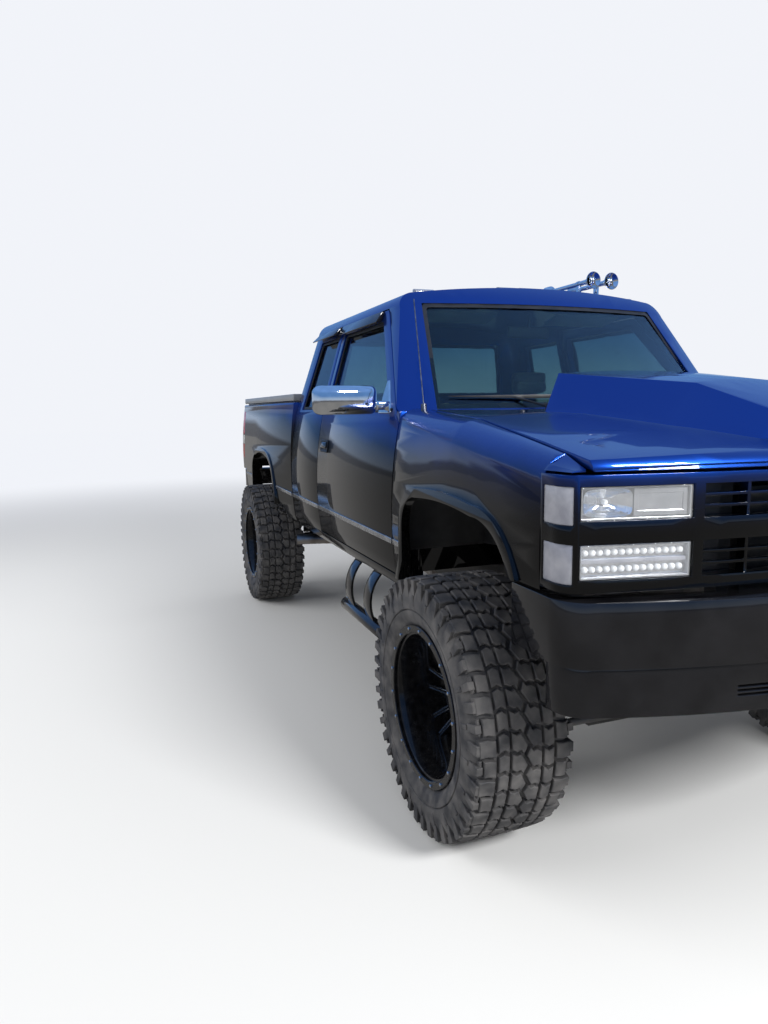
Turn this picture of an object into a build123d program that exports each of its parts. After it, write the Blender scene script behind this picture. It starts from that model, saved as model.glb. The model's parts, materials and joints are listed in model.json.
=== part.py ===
"""Lifted extended-cab pickup truck with a short bed, in millimetres.

The truck faces -Y and +Z is up. Heights are above the ground that the tyres stand on.
Stations (the Y values in this source) run rearward from the front axle. The last step
moves the whole truck, so that its origin lies on the ground, midway along it.
"Left" is the driver's side, +X; a side is +1 for left and -1 for right.
"""
import os
from math import atan2, cos, degrees, pi, sin, sqrt

from build123d import *

# Driving sizes
wheelbase = 3594
front_overhang = 914
rear_overhang = 1057
body_half = 970
fit = 0.3
panel_gap = 7

# Wheels and tyres
tyre_radius = 480
tyre_width = 355
tread_width = 318
tread_base = 462
tyre_tip = 477.4
tread_pitches = 22
wheel_centre_x = 925
rim_radius = 297
bead_radius = 279
rim_width = 330
rim_barrel_radius = 262
rim_wall = 12
hub_face_x = 868
hub_radius = 92
flange_lip = 14
flange_seat = 26
spoke_count = 8
leg_width = 20
leg_gap = 20
leg_spread = 5
stud_circle = 165.1
stud_count = 8
stud_hole = 16

# Heights and widths of the body's side
sill_bottom = 765
sill_crease = 835
widest_height = 1120
belt = 1535
sill_half = 905
crease_half = 950
belt_half = 925
rail_half = 775
rail_height = 2040
roof_edge_half = 690
roof_edge_height = 2125
roof_crown = 2165

# Cab
cab_front = 540
cab_back = 2520
cab_floor = 880
floor_thickness = 30
wall = 110
pillar = 60
roof_thickness = 40
back_wall = 60
cowl_front = 350
cowl_depth = 62
cowl_bottom = 1470
cab_back_lean = 120
firewall = 45
cowl_half = 806
hinge_pillar_half = 892
door_skin = 9
door_taper = 20
underside_half = 840
door_front = 588
door_rear = 1840
door_bottom = 842
door_top = 2052
door_pillar_low = 655
door_pillar_high = 1105
window_border = 52
glass = 5

# Windscreen: middle and corner stations and half-width, at two heights
screen_low = 1555
screen_high = 2110
screen_low_mid = 345
screen_low_corner = 600
screen_low_half = 815
screen_high_mid = 905
screen_high_corner = 985
screen_high_half = 715

# Front end
nose_bow = 115
grille_station = -835
lamp_corner_station = -590
shell_top = 1388
shell_bottom = 1060
bumper_top = 1040
bumper_step = 850
valance_bottom = 705
bumper_wall = 45
bumper_side_end = -447
hood_thickness = 26
arch_half = 443
arch_top = 1225
skin = 24
lip_width = 38
lip_root = 26
lip_reach = 11

# Bed
bed_gap = 28
bed_front = cab_back + bed_gap
bed_overhang = 981
bed_rear = wheelbase + bed_overhang
bed_rail = 1620
bed_floor = 1120
bed_wall = 120
bed_bottom = 800
tailgate_thickness = 62
lid_thickness = 46
lid_seal = 12
rear_bumper_front = bed_rear - 135
rear_bumper_top = 1020
rear_bumper_low = 860

# Frame
rail_inner = 395
rail_outer = 465
kingpin_x = 790
steer_arm = 190


def profile(start, *steps):
    """A closed outline: a step of one point is a line to it, of two points an arc through the first."""
    edges, here = [], start
    for step in steps:
        if isinstance(step[0], tuple):
            through, there = step
            edges.append(ThreePointArc(here, through, there))
        else:
            there = step
            edges.append(Line(here, there))
        here = there
    if here != start:
        edges.append(Line(here, start))
    return make_face(edges)


def along_x(face, x0, x1):
    """Extrudes a (y, z) outline between two X places."""
    return extrude(Plane.YZ.offset(x0) * face, amount=x1 - x0, dir=(1, 0, 0))


def along_y(face, y0, y1):
    """Extrudes an (x, z) outline between two stations."""
    return extrude(Plane.XZ.offset(-y0) * face, amount=y1 - y0, dir=(0, 1, 0))


def along_z(face, z0, z1):
    """Extrudes an (x, y) outline between two heights."""
    return extrude(Plane.XY.offset(z0) * face, amount=z1 - z0, dir=(0, 0, 1))


def block(x0, x1, y0, y1, z0, z1):
    return Pos((x0 + x1) / 2, (y0 + y1) / 2, (z0 + z1) / 2) * Box(abs(x1 - x0), abs(y1 - y0), abs(z1 - z0))


def rod(start, end, radius):
    """A round bar between two points."""
    a, b = Vector(*start), Vector(*end)
    return extrude(Plane(a, z_dir=b - a) * Circle(radius), amount=(b - a).length)


def other_side(shape):
    return mirror(shape, Plane.YZ)


def both(shape):
    return Part() + [shape, other_side(shape)]


def whole(half_face):
    """A full-width section from its left half."""
    return half_face + mirror(half_face, Plane.YZ)


nodes = {}


def add(name, *shapes):
    nodes[name] = [solid for shape in shapes for solid in shape.solids()]


def side_steps(inset=0):
    """The arc of the body's side from its sill crease up to the belt."""
    return ((body_half - inset, widest_height), (belt_half - inset, belt))


# Cab
roof_rise = roof_crown - roof_edge_height
roof_radius = (roof_edge_half ** 2 + roof_rise ** 2) / (2 * roof_rise)


def roof_height(x):
    return roof_crown - roof_radius + sqrt(roof_radius ** 2 - x ** 2)


def ahead_of_cowl(back=0):
    """Seen from above, all that lies ahead of the cowl's bowed front edge."""
    mid = screen_low_mid - cowl_depth + back
    corner = screen_low_corner - cowl_depth + back
    return profile((-1100, -1200), (1100, -1200), (1100, corner), (screen_low_half, corner),
                   ((0, mid), (-screen_low_half, corner)), (-1100, corner))


def screen_face(height, back=0):
    """The region in front of the windscreen at one height, moved rearward by back."""
    t = (height - screen_low) / (screen_high - screen_low)
    mid = screen_low_mid + t * (screen_high_mid - screen_low_mid) + back
    corner = screen_low_corner + t * (screen_high_corner - screen_low_corner) + back
    half = screen_low_half + t * (screen_high_half - screen_low_half)
    reach = 1.4
    deep = mid + (corner - mid) * reach ** 2
    return Plane.XY.offset(height) * profile(
        (-half * reach, -600), (half * reach, -600), (half * reach, deep), ((0, mid), (-half * reach, deep)))


def before_screen(back=0):
    """All that lies in front of the windscreen's surface."""
    return loft([screen_face(screen_low, back), screen_face(roof_crown + 120, back)], ruled=True)


def cab_section(inset=0):
    """The cab seen from the front: sills, curved sides, raked windows and an arched roof."""
    return whole(profile(
        (0, sill_bottom + inset), (sill_half - inset, sill_bottom + inset),
        (crease_half - inset, sill_crease), side_steps(inset), (rail_half - inset, rail_height),
        ((rail_half - 24 - inset, rail_height + 58 - inset),
         (roof_edge_half - inset, roof_edge_height - inset)),
        ((roof_edge_half / 2, roof_height(roof_edge_half / 2) - inset), (0, roof_crown - inset))))


def cab_outer(inset=0):
    side = profile(
        (cab_front, sill_bottom - 10), (cab_back, sill_bottom - 10), (cab_back, bed_rail),
        (cab_back - cab_back_lean, roof_crown + 60), (cowl_front, roof_crown + 60),
        (cowl_front - 60, cowl_bottom), (cab_front, cowl_bottom))
    body = along_y(cab_section(inset), cowl_front - 90, cab_back + 20) & along_x(side, -1100, 1100)
    body -= before_screen()
    body -= along_z(ahead_of_cowl(), cowl_bottom - 1, roof_crown + 100)
    pillar_top = belt - 32
    behind = door_front - panel_gap + 2
    for s in (-1, 1):
        body -= block(s * hinge_pillar_half, s * 1100, 0, behind, 600, pillar_top + 1)
        body -= block(s * (cowl_half - fit), s * 1100, 0, behind, pillar_top, roof_crown)
        body -= block(s * (cowl_half - fit), s * 1100, 0, cab_front, cowl_bottom - 1, roof_crown)
    return body


def cab_inner():
    section = whole(profile(
        (0, cab_floor), (body_half - wall - 8, cab_floor), (body_half - wall - 8, belt),
        (rail_half - pillar, rail_height - 8),
        ((rail_half - pillar - 20, rail_height + 25), (roof_edge_half - 50, roof_edge_height - 44)),
        ((roof_edge_half / 2 - 20, roof_crown - roof_thickness - 7), (0, roof_crown - roof_thickness))))
    side = profile(
        (cab_front + firewall, cab_floor - 10), (cab_back - back_wall, cab_floor - 10),
        (cab_back - back_wall, bed_rail), (cab_back - back_wall - cab_back_lean, roof_crown + 60),
        (cab_front + firewall, roof_crown + 60))
    return (along_y(section, cab_front, cab_back) & along_x(side, -1000, 1000)) - before_screen(55)


def door_outline(grow):
    """The door's edge seen from the side; grow is the gap to add all round it."""
    return profile(
        (door_front - grow, door_bottom - grow), (door_rear + grow, door_bottom - grow),
        (door_rear + grow, door_top + grow), (door_pillar_high - grow, door_top + grow),
        (door_pillar_low - grow, belt + 28), (door_front - grow, belt - 30))


def window_outline(inset=0):
    return profile(
        (door_pillar_low + window_border + 38 + inset, belt + 30 + inset),
        (door_rear - window_border - inset, belt + 30 + inset),
        (door_rear - window_border - inset, door_top - window_border - inset),
        (door_pillar_high + window_border - 12 + inset, door_top - window_border - inset))


quarter_front = door_rear + 62
quarter_rear = cab_back - 130


def quarter_outline(inset=0):
    lean = cab_back_lean * 0.72
    return profile(
        (quarter_front + inset, belt + 34 + inset), (quarter_rear - inset, belt + 34 + inset),
        (quarter_rear - lean - inset, door_top - 56 - inset), (quarter_front + inset, door_top - 56 - inset))


def side_glass(outline, s):
    """Flat glass set into the wall's upper slope."""
    slope = (belt_half - rail_half) / (rail_height - belt)
    sunk = 22
    strip = profile(
        (belt_half - sunk, belt), (belt_half - sunk - glass, belt),
        (belt_half - sunk - glass - slope * 520, belt + 520), (belt_half - sunk - slope * 520, belt + 520))
    slab = along_y(strip, door_front, cab_back) & along_x(outline, 600, 1000)
    return slab if s > 0 else other_side(slab)


screen_opening = profile(
    (-screen_low_half + 52, screen_low + 8), (screen_low_half - 52, screen_low + 8),
    (screen_high_half - 48, screen_high - 42), (-screen_high_half + 48, screen_high - 42))
rear_opening = profile(
    (-640, bed_rail + 30), (640, bed_rail + 30), (570, door_top - 40), (-570, door_top - 40))

cab_solid = cab_outer()
cab_room = cab_inner()
cab_wall = cab_solid - cab_room - block(
    -underside_half, underside_half, cab_front - 5, cab_back + 5, 600, cab_floor - floor_thickness)
door_inside = body_half - wall - 8


def door_prism(grow):
    """The door's outline run through the wall, and past its inner face by the same gap."""
    prism = along_x(door_outline(grow), 600, 1100)
    return prism - block(0, door_inside - grow, 0, cab_back, sill_bottom, belt)


door_cut = door_prism(panel_gap)
window_cut = along_x(window_outline(), 500, 1100)
quarter_cut = along_x(quarter_outline(), 500, 1100)
cab_shell = cab_wall - both(door_cut) - both(quarter_cut)
cab_shell -= along_y(screen_opening, 0, 1200)
cab_shell -= along_y(rear_opening, 2200, cab_back + 50)
# Door hinges: two pads on each hinge pillar that the door's front edge seats against
for z in (1010, 1400):
    pad = block(852, 886, door_front - panel_gap - 5, door_front - fit, z - 45, z + 45)
    cab_shell += both(pad)
add("cab_shell", cab_shell)

# Behind its skin the door's rear edge is set forward, so that it swings clear of the jamb
leaf = (cab_wall & door_prism(0)) - window_cut
leaf -= cab_outer(door_skin) & block(600, 1000, door_rear - door_taper, door_rear + 5, 700, 2200)
leaf -= along_x(profile((door_rear, belt), (door_rear + 5, belt), (door_rear + 5, door_top + 5),
                        (door_rear - 10, door_top + 5)), 600, 1100)
for s, side in ((1, "left"), (-1, "right")):
    add(f"door_{side}", leaf if s > 0 else other_side(leaf))
    add(f"door_glass_{side}", side_glass(window_outline(), s))
screen = (before_screen(14 + glass) - before_screen(14)) & along_y(screen_opening, 0, 1200)
lean = cab_back_lean / (roof_crown + 60 - bed_rail)
back_strip = profile(
    (cab_back - 30, bed_rail), (cab_back - 30 + glass, bed_rail),
    (cab_back - 30 + glass - lean * 500, bed_rail + 500), (cab_back - 30 - lean * 500, bed_rail + 500))
rear_glass = along_x(back_strip, -700, 700) & along_y(rear_opening, 2200, cab_back + 50)
add("cab_glass", screen, rear_glass, side_glass(quarter_outline(), 1), side_glass(quarter_outline(), -1))

# Cabin
dash_front = cab_front + firewall + fit
dash = along_x(profile(
    (dash_front, 1230), (dash_front + 320, 1200), (dash_front + 350, 1400),
    ((dash_front + 300, 1480), (dash_front + 200, 1500)), (dash_front, 1490)),
    -door_inside + 8, door_inside - 8)
column_end = Vector(400, dash_front + 410, 1430)
column_start = Vector(400, dash_front + 230, 1340)
wheel_plane = Plane(column_end, z_dir=(column_end - column_start))
steering_wheel = wheel_plane * Torus(185, 14) + wheel_plane * Pos(0, 0, -14) * Cylinder(52, 36)
for turn in (0, 120, 240):
    steering_wheel += wheel_plane * Rot(0, 0, turn + 30) * Pos(110, 0, -4) * Box(150, 26, 10)
steering_wheel += rod(tuple(column_start), tuple(column_end), 22)
steering_wheel -= Pos(0, fit, 0) * dash
add("dashboard", dash, steering_wheel)


def bench(front, width, back_top, depth):
    """One seat: a cushion, a raked back and two head rests, seen from the side and extruded."""
    seat = profile(
        (front, cab_floor + fit), (front + depth, cab_floor + fit), (front + depth + 60, cab_floor + 330),
        (front + depth + 170, back_top), (front + depth + 50, back_top),
        (front + depth - 60, cab_floor + 420), (front, cab_floor + 400))
    return along_x(seat, -width / 2, width / 2)


seats = []
cushion_front = cab_front + 590
for x in (-400, 400):
    seat = Pos(x, 0, 0) * bench(cushion_front, 540, 1620, 460)
    head = Pos(x, cushion_front + 460 + 115, 1620 + 85) * Box(240, 80, 170)
    seats.append(seat + head)
seats.append(bench(cab_back - 560, 1380, 1520, 300))
add("seats", *seats)

# Plan of the nose
lamp_out = 925
lamp_in = 600
grille_half = 570
upper_low, upper_high = 1259, 1353
lower_low, lower_high = 1095, 1195


def shell_plan(back=0):
    """Front of the shell from above: bowed, with corners that wrap to the fenders."""
    y = grille_station
    side = 966 - back
    return profile(
        (-side, lamp_corner_station), (-side, y + 190),
        ((-957 + back * 0.9, y + 150 + back * 0.35), (-930 + back * 0.55, y + 118 + back * 0.85)),
        ((0, y + back), (930 - back * 0.55, y + 118 + back * 0.85)),
        ((957 - back * 0.9, y + 150 + back * 0.35), (side, y + 190)), (side, lamp_corner_station))


# Fenders, hood and nose
# Sections of the left fender. Columns: station, bottom x, bottom z, widest x, widest z,
# shoulder x, shoulder z, crown x, crown z, hood edge x, hood edge z
fender_sections = (
    (lamp_corner_station, 948, 900, 968, 1130, 958, 1345, 938, 1408, 887, 1434),
    (0, 950, 860, 970, 1120, 955, 1440, 925, 1500, 852, 1527),
    (door_front - panel_gap, 950, 820, 970, 1120, 925, 1528, 890, 1556, 806, 1562),
)


def fender_face(row):
    y, bx, bz, wx, wz, sx, sz, cx, cz, hx, hz = row
    return Plane.XZ.offset(-y) * profile(
        (bx, bz), ((wx, wz), (sx, sz)), ((cx, cz), (hx, hz)), (hx, hz - skin),
        ((cx - skin * 0.8, cz - skin), (sx - skin, sz - skin * 0.6)), ((wx - skin, wz), (bx - skin, bz)))


front_arch = profile(
    (arch_half + 40, 700), (arch_half + 40, 850), (arch_half, 930), (arch_half, 1070),
    ((arch_half - 45, arch_top - 45), (arch_half - 145, arch_top - 10)),
    ((60, arch_top), (-180, arch_top - 20)),
    ((-370, 1140), (-arch_half, 1030)), (-arch_half - 40, 900), (-arch_half - 60, 700))


def arch_lip(arch, y0, y1, low):
    """A flared lip round a wheel arch, from the panel's skin out past it."""
    band = offset(arch, lip_width) - arch
    band &= Pos((y0 + y1) / 2, low + 500) * Rectangle(y1 - y0, 1000)
    return extrude(Plane.YZ.offset(body_half - lip_root) * band, amount=lip_root + lip_reach, dir=(1, 0, 0))


def lamp_cap():
    """The fender's tongue over the corner lamps, between the hood and the shell."""
    low = shell_top + 3
    faces = []
    # Columns: station, inner x, outer x, shoulder x, shoulder z, inner z
    for y, x0, x1, x2, z2, z0 in ((lamp_corner_station, 887, 957, 938, 1408, 1434),
                                  (lamp_corner_station - 110, 897, 942, 930, 1394, 1398)):
        faces.append(Plane.XZ.offset(-y) * profile((x0, low), (x1, low), (x2, z2), (x0, z0)))
    return loft(faces, ruled=True) & along_z(shell_plan(5), low, shell_top + 100)


def fender():
    solid = loft([fender_face(row) for row in fender_sections], ruled=True)
    solid += arch_lip(front_arch, lamp_corner_station + 30, door_front - panel_gap, sill_crease)
    solid -= along_x(front_arch, 700, 1100)
    solid -= block(880, 1000, door_front - 300, door_front, 700, 838)
    solid -= block(860, 1000, -800, bumper_side_end + 60, 700, bumper_top + panel_gap)
    return solid + lamp_cap()


fender_solid = fender()
add("fender_left", fender_solid)
add("fender_right", other_side(fender_solid))

# Inner arches: a folded sheet over each front wheel, closed on the engine's side
liner_half = 540
liner_top = 1290
liner_sheet = 16
liner_low = bumper_top + 30
liner_arc = profile(
    (-liner_half, liner_low), (-liner_half + 60, 1190), (-300, liner_top), (300, liner_top),
    (liner_half - 60, 1190), (liner_half - 20, 960), (liner_half - 20 - liner_sheet, 960),
    (liner_half - 60 - liner_sheet, 1180), (294, liner_top - liner_sheet), (-294, liner_top - liner_sheet),
    (-liner_half + 60 + liner_sheet, 1180), (-liner_half + liner_sheet, liner_low))
liner_side = profile((-liner_half, liner_low), (-liner_half + 60, 1190), (-300, liner_top), (300, liner_top),
                     (liner_half - 60, 1190), (liner_half - 20, 960))
liner = along_x(liner_arc, 560, 950) + along_x(liner_side, 545, 561)
liner -= Pos(-fit, 0, 0) * fender_solid
liner = max(liner.solids(), key=lambda solid: solid.volume)
add("front_liners", liner, other_side(liner))

# Sections of the hood. Columns: station, half width, edge height, crease half width, crease height, crown
hood_sections = (
    (-870, 898, 1404, 480, 1420, 1424),
    (-700, 888, 1424, 475, 1448, 1454),
    (-450, 870, 1464, 440, 1484, 1494),
    (0, 844, 1529, 412, 1537, 1552),
    (screen_low_corner, 798, 1566, 400, 1574, 1584),
)


def hood_face(row):
    y, half, edge, crease, crease_z, crown = row
    under = hood_thickness
    return Plane.XZ.offset(-y) * profile(
        (-half, edge), (-crease, crease_z), ((0, crown), (crease, crease_z)),
        (half, edge), (half, edge - under), (crease, crease_z - under),
        ((0, crown - under), (-crease, crease_z - under)), (-half, edge - under))


def nose_outline(back=0, station=grille_station, bow=nose_bow, half=1200):
    """The region behind the bowed nose, seen from above."""
    edge = station + bow * (half / 900) ** 2
    return profile(
        (-half, edge + back), ((0, station + back), (half, edge + back)), (half, 1200), (-half, 1200))


# Sections of the cowl scoop. Columns: station, foot half, foot height, top half, top height
scoop_sections = (
    (-790, 120, 1424, 60, 1438),
    (-640, 240, 1450, 165, 1545),
    (-365, 330, 1492, 215, 1640),
    (200, 450, 1535, 385, 1700),
)


def scoop_face(row, inset=0):
    y, foot, low, top, high = row
    return Plane.XZ.offset(-y) * profile(
        (-foot + inset, low), (-top + inset, high - inset),
        ((0, high + 12 - inset), (top - inset, high - inset)), (foot - inset, low))


# The hood's front edge rolls down to the shell. Rows: height, how far back
nose_roll = ((shell_top - 20, 0), (shell_top + 20, 6), (shell_top + 44, 26), (shell_top + 62, 70),
             (roof_crown, 1500))
behind_nose = loft([Plane.XY.offset(z) * nose_outline(back) for z, back in nose_roll], ruled=True)
hood = loft([hood_face(row) for row in hood_sections], ruled=True) & behind_nose
hood &= along_z(ahead_of_cowl(-panel_gap), 1300, 1800)
hood -= block(-1000, 1000, -1000, -600, 1300, shell_top + 3)
scoop = loft([scoop_face(row) for row in scoop_sections], ruled=True)
hollow = loft([scoop_face(row, 18) for row in scoop_sections[2:]], ruled=True)
hood = hood + scoop - (hollow & block(-600, 600, -250, 220, 1565, 1800))
# Hinge lugs under the hood's rear corners, seated against the cowl
hinge_lug = block(740, 780, 420, 530, 1492, 1548) & along_z(ahead_of_cowl(-fit), 1400, 1600)
hood += both(hinge_lug)
add("hood", hood)

# Grille shell: lamp and grille openings are cut into one bowed moulding
shell_depth = 60
shell = along_z(shell_plan(), shell_bottom, shell_top - panel_gap + 3)
shell -= along_z(shell_plan(shell_depth), shell_bottom - 1, shell_top)
for z0, z1 in ((upper_low, upper_high), (lower_low, lower_high)):
    for s in (-1, 1):
        shell -= block(s * lamp_in, s * lamp_out, -900, -500, z0, z1)
        shell -= block(s * (lamp_out + 12), s * 1000, -720, lamp_corner_station - 12, z0 - 12, z1)
    shell -= block(-grille_half, grille_half, -900, -500, z0, z1)
bar_depth = 30
bars = []
for z0, z1 in ((upper_low, upper_high), (lower_low, lower_high)):
    for i in range(1, 3):
        z = z0 + (z1 - z0) * i / 3
        bars.append(block(-grille_half, grille_half, -900, -500, z - 4, z + 4))
for i in range(-3, 4):
    x = grille_half * i / 4
    bars.append(block(x - 5, x + 5, -900, -500, lower_low, upper_high))
ribbon = along_z(shell_plan(6), lower_low, upper_high) - along_z(shell_plan(6 + bar_depth), 1000, 1400)
shell += ribbon & (Part() + bars)
add("grille_shell", shell)


def lens(x0, x1, y0, y1, z0, z1, back, thick):
    """A lamp body that follows the shell's curve inside one opening."""
    band = along_z(shell_plan(back), z0, z1) - along_z(shell_plan(back + thick), z0 - 1, z1 + 1)
    return band & block(x0, x1, y0, y1, z0, z1)


headlamps, light_bars, corner_lamps = [], [], []
for s in (-1, 1):
    headlamps.append(lens(s * lamp_in, s * lamp_out, -900, -500, upper_low, upper_high, 8, 45))
    light_bars.append(lens(s * lamp_in, s * lamp_out, -900, -500, lower_low, lower_high, 6, 45))
    for z0, z1 in ((upper_low, upper_high), (lower_low, lower_high)):
        x0, y1 = lamp_out + 12, lamp_corner_station - 12
        corner_lamps.append(lens(s * x0, s * 1000, -720, y1, z0 - 12, z1, 3, 40))
add("front_lamps", *headlamps, *light_bars, *corner_lamps)
nose_member_top = 910
support_front, support_back = -745, -700
support_plate = block(-880, 880, support_front, support_back, 1045, 1375)
support_plate &= along_z(shell_plan(shell_depth + fit), 1000, 1400)
support_plate -= block(-425, 425, -800, -600, 900, 1345)
support_plate += both(block(425, 470, support_front, support_back, 925 + fit, 1100))
for x in (-420, 420):
    support_plate += Pos(x, -722, 1385) * Cylinder(16, 24)
radiator = block(-385, 385, support_front, support_back, nose_member_top + fit, 1330)
add("radiator_support", support_plate, radiator)


def bumper_plan(back=0):
    """Front of the bumper from above: bowed, with round corners and straight ends."""
    y = -front_overhang
    side = body_half + 3 - back
    return profile(
        (-side, bumper_side_end), (-side, y + 265),
        ((-951 + back * 0.8, y + 205 + back * 0.5), (-880 + back * 0.45, y + 158 + back * 0.9)),
        ((0, y + back), (880 - back * 0.45, y + 158 + back * 0.9)),
        ((951 - back * 0.8, y + 205 + back * 0.5), (side, y + 265)), (side, bumper_side_end))


def bumper_band(z0, z1, back, thick):
    return along_z(bumper_plan(back), z0, z1) - along_z(bumper_plan(back + thick), z0 - 1, z1 + 1)


bumper = bumper_band(bumper_step, bumper_top, 0, bumper_wall)
bumper += bumper_band(bumper_top - 14, bumper_top, 0, 95)
valance = bumper_band(valance_bottom, bumper_step - fit, 14, bumper_wall) - block(
    -1100, 1100, -620, 0, 600, 900)
for i in range(3):
    valance -= block(-480, 480, -1000, -700, 752 + i * 13, 758 + i * 13)
add("front_bumper", bumper, valance)

# Bed
bed_half_low = 945
bed_section = whole(profile(
    (0, bed_bottom), (bed_half_low - 8, bed_bottom), (crease_half, sill_crease + 10),
    ((body_half - 2, widest_height), (935, bed_rail - 20)),
    ((932, bed_rail - 4), (915, bed_rail)), (0, bed_rail)))
bed = along_y(bed_section, bed_front, bed_rear)
bed_inner = body_half - bed_wall - 20
bed -= block(-bed_inner, bed_inner, bed_front + 45, bed_rear + 10, bed_floor, bed_rail + 10)
bed -= block(-bed_inner - 60, bed_inner + 60, bed_front - 10, bed_rear + 10, 700, bed_floor - 40)
bed -= block(-1000, 1000, rear_bumper_front, bed_rear + 10, 700, rear_bumper_top + 10)
house_half = arch_half + 40
house_top = arch_top + 62
rear_arch = profile(
    (wheelbase - arch_half - 40, 700), (wheelbase - arch_half - 20, 930), (wheelbase - arch_half + 30, 1060),
    ((wheelbase - 320, 1160), (wheelbase - 180, arch_top - 20)),
    ((wheelbase + 40, arch_top), (wheelbase + 260, arch_top - 30)),
    ((wheelbase + 400, 1140), (wheelbase + arch_half, 1040)), (wheelbase + arch_half + 10, 700))
house = profile(
    (wheelbase - house_half - 20, bed_floor - 5), ((wheelbase - 340, 1240), (wheelbase - 190, house_top)),
    (wheelbase + 240, house_top), ((wheelbase + 400, 1235), (wheelbase + house_half, bed_floor - 5)))
bed += both(along_x(house, 600, bed_inner + 5))
bed -= both(along_x(rear_arch, 630, 1100))
lamp_low, lamp_high = bed_floor + 10, bed_rail - 60
for s in (-1, 1):
    bed -= block(s * (bed_inner - 30), s * 1000, bed_rear - 80, bed_rear + 10, lamp_low, lamp_high)
bed += both(block(bed_inner - 20, bed_inner + 30, bed_rear - 80, bed_rear, bed_floor, bed_rail))
bed += both(arch_lip(rear_arch, bed_front + 20, rear_bumper_front - 10, sill_crease + 20))
add("bed", bed)
tail_lamps = []
for s in (-1, 1):
    lamp = along_y(bed_section, bed_rear - 80 + fit, bed_rear + 4) & block(
        s * (bed_inner + 30 + fit), s * 1000, wheelbase, bed_rear + 10, lamp_low + fit, lamp_high - fit)
    tail_lamps.append(lamp)
add("tail_lamps", *tail_lamps)
gate_half = bed_inner - 20 - panel_gap
gate_low = bed_floor + 14
tailgate = block(-gate_half, gate_half, bed_rear - tailgate_thickness, bed_rear, gate_low, bed_rail - 10)
tailgate -= block(-90, 90, bed_rear - 22, bed_rear + 5, 1510, 1570)
gate_pin = (bed_rear - 18, gate_low + 28)
tailgate += both(rod((gate_half - 5, *gate_pin), (gate_half + panel_gap - fit, *gate_pin), 8))
add("tailgate", tailgate)

lid_bottom = bed_rail + fit
lid_front = bed_front + 18
lid = along_z(profile((-930, lid_front), (930, lid_front), (930, bed_rear - 4), (-930, bed_rear - 4)),
              lid_bottom + lid_seal, lid_bottom + lid_seal + lid_thickness)
lid += block(-900, 900, lid_front + 20, bed_rear - 24, lid_bottom, lid_bottom + lid_seal)
add("bed_lid", lid)

rear_y = wheelbase + rear_overhang
rear_plan = profile(
    (-945, rear_bumper_front), (-955, bed_rear - 20), ((-930, rear_y - 34), (-860, rear_y - 14)),
    ((0, rear_y), (860, rear_y - 14)), ((930, rear_y - 34), (955, bed_rear - 20)), (945, rear_bumper_front),
    (905, rear_bumper_front), (905, bed_rear + 12), (-905, bed_rear + 12), (-905, rear_bumper_front))
rear_bumper = along_z(rear_plan, rear_bumper_low, rear_bumper_top)
rear_bumper -= block(-905, 905, bed_rear - 200, bed_rear + 40, 840, 1004)
rear_bumper -= block(-190, 190, bed_rear + 30, rear_y + 10, 925, 1005)
add("rear_bumper", rear_bumper)

# Frame. Rail outline from the side: stations and heights along the bottom, then back along the top
rail_low = 665
rail_end = bed_rear - 15
rail_side = profile(
    (-760, 815), (-420, 815), (300, 760), (700, rail_low),
    (wheelbase - 1094, rail_low), (wheelbase - 594, 850),
    (wheelbase - 244, 905), (wheelbase + 306, 905), (wheelbase + 556, 860), (rail_end, 860), (rail_end, 980),
    (wheelbase + 556, 990), (wheelbase + 306, 1030), (wheelbase - 244, 1030), (wheelbase - 644, 980),
    (wheelbase - 1154, 805), (760, 805), (300, 890), (-420, 925), (-760, 925))
rails = both(along_x(rail_side, rail_inner, rail_outer))
# Crossmembers. Columns: station, width along Y, bottom, top
crossmembers = (
    (-720, 60, 830, nose_member_top), (-60, 110, 790, 880), (1180, 120, 670, 696),
    (cab_back - 140, 90, 720, 795), (wheelbase - 514, 80, 900, 975), (wheelbase + 366, 80, 920, 1000),
    (bed_rear - 75, 80, 880, 960))
members = [block(-rail_inner + fit, rail_inner - fit, y - length / 2, y + length / 2, z0, z1)
           for y, length, z0, z1 in crossmembers]
# Mounts reach from the rails to the cab's floor and to the bed's floor. Columns: station, bottom, top
floor_under, bed_under = cab_floor - floor_thickness - fit, bed_floor - 40 - fit
mounts = ((760, 790, floor_under), (1560, 790, floor_under), (cab_back - 140, 790, floor_under),
          (bed_front + 212, 880, bed_under), (wheelbase - 344, 980, bed_under),
          (wheelbase + 456, 980, bed_under), (bed_rear - 125, 950, bed_under))
for y, z0, z1 in mounts:
    rails += both(Pos(rail_outer - 35, y, (z0 + z1) / 2) * Cylinder(32, z1 - z0))
# Brackets that carry the bumpers
horn = block(rail_inner, rail_outer, -880, -740, 855, 920)
rails += both(horn & along_z(bumper_plan(bumper_wall + fit), 800, 1000))
rails += both(block(rail_inner, rail_outer, rail_end - 10, bed_rear + 40 - fit, 880, 970))
rail_solids = sorted(rails.solids(), key=lambda solid: solid.center().X)
add("frame_rail_right", rail_solids[0])
add("frame_rail_left", rail_solids[1])
add("crossmembers", *members)

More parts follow.
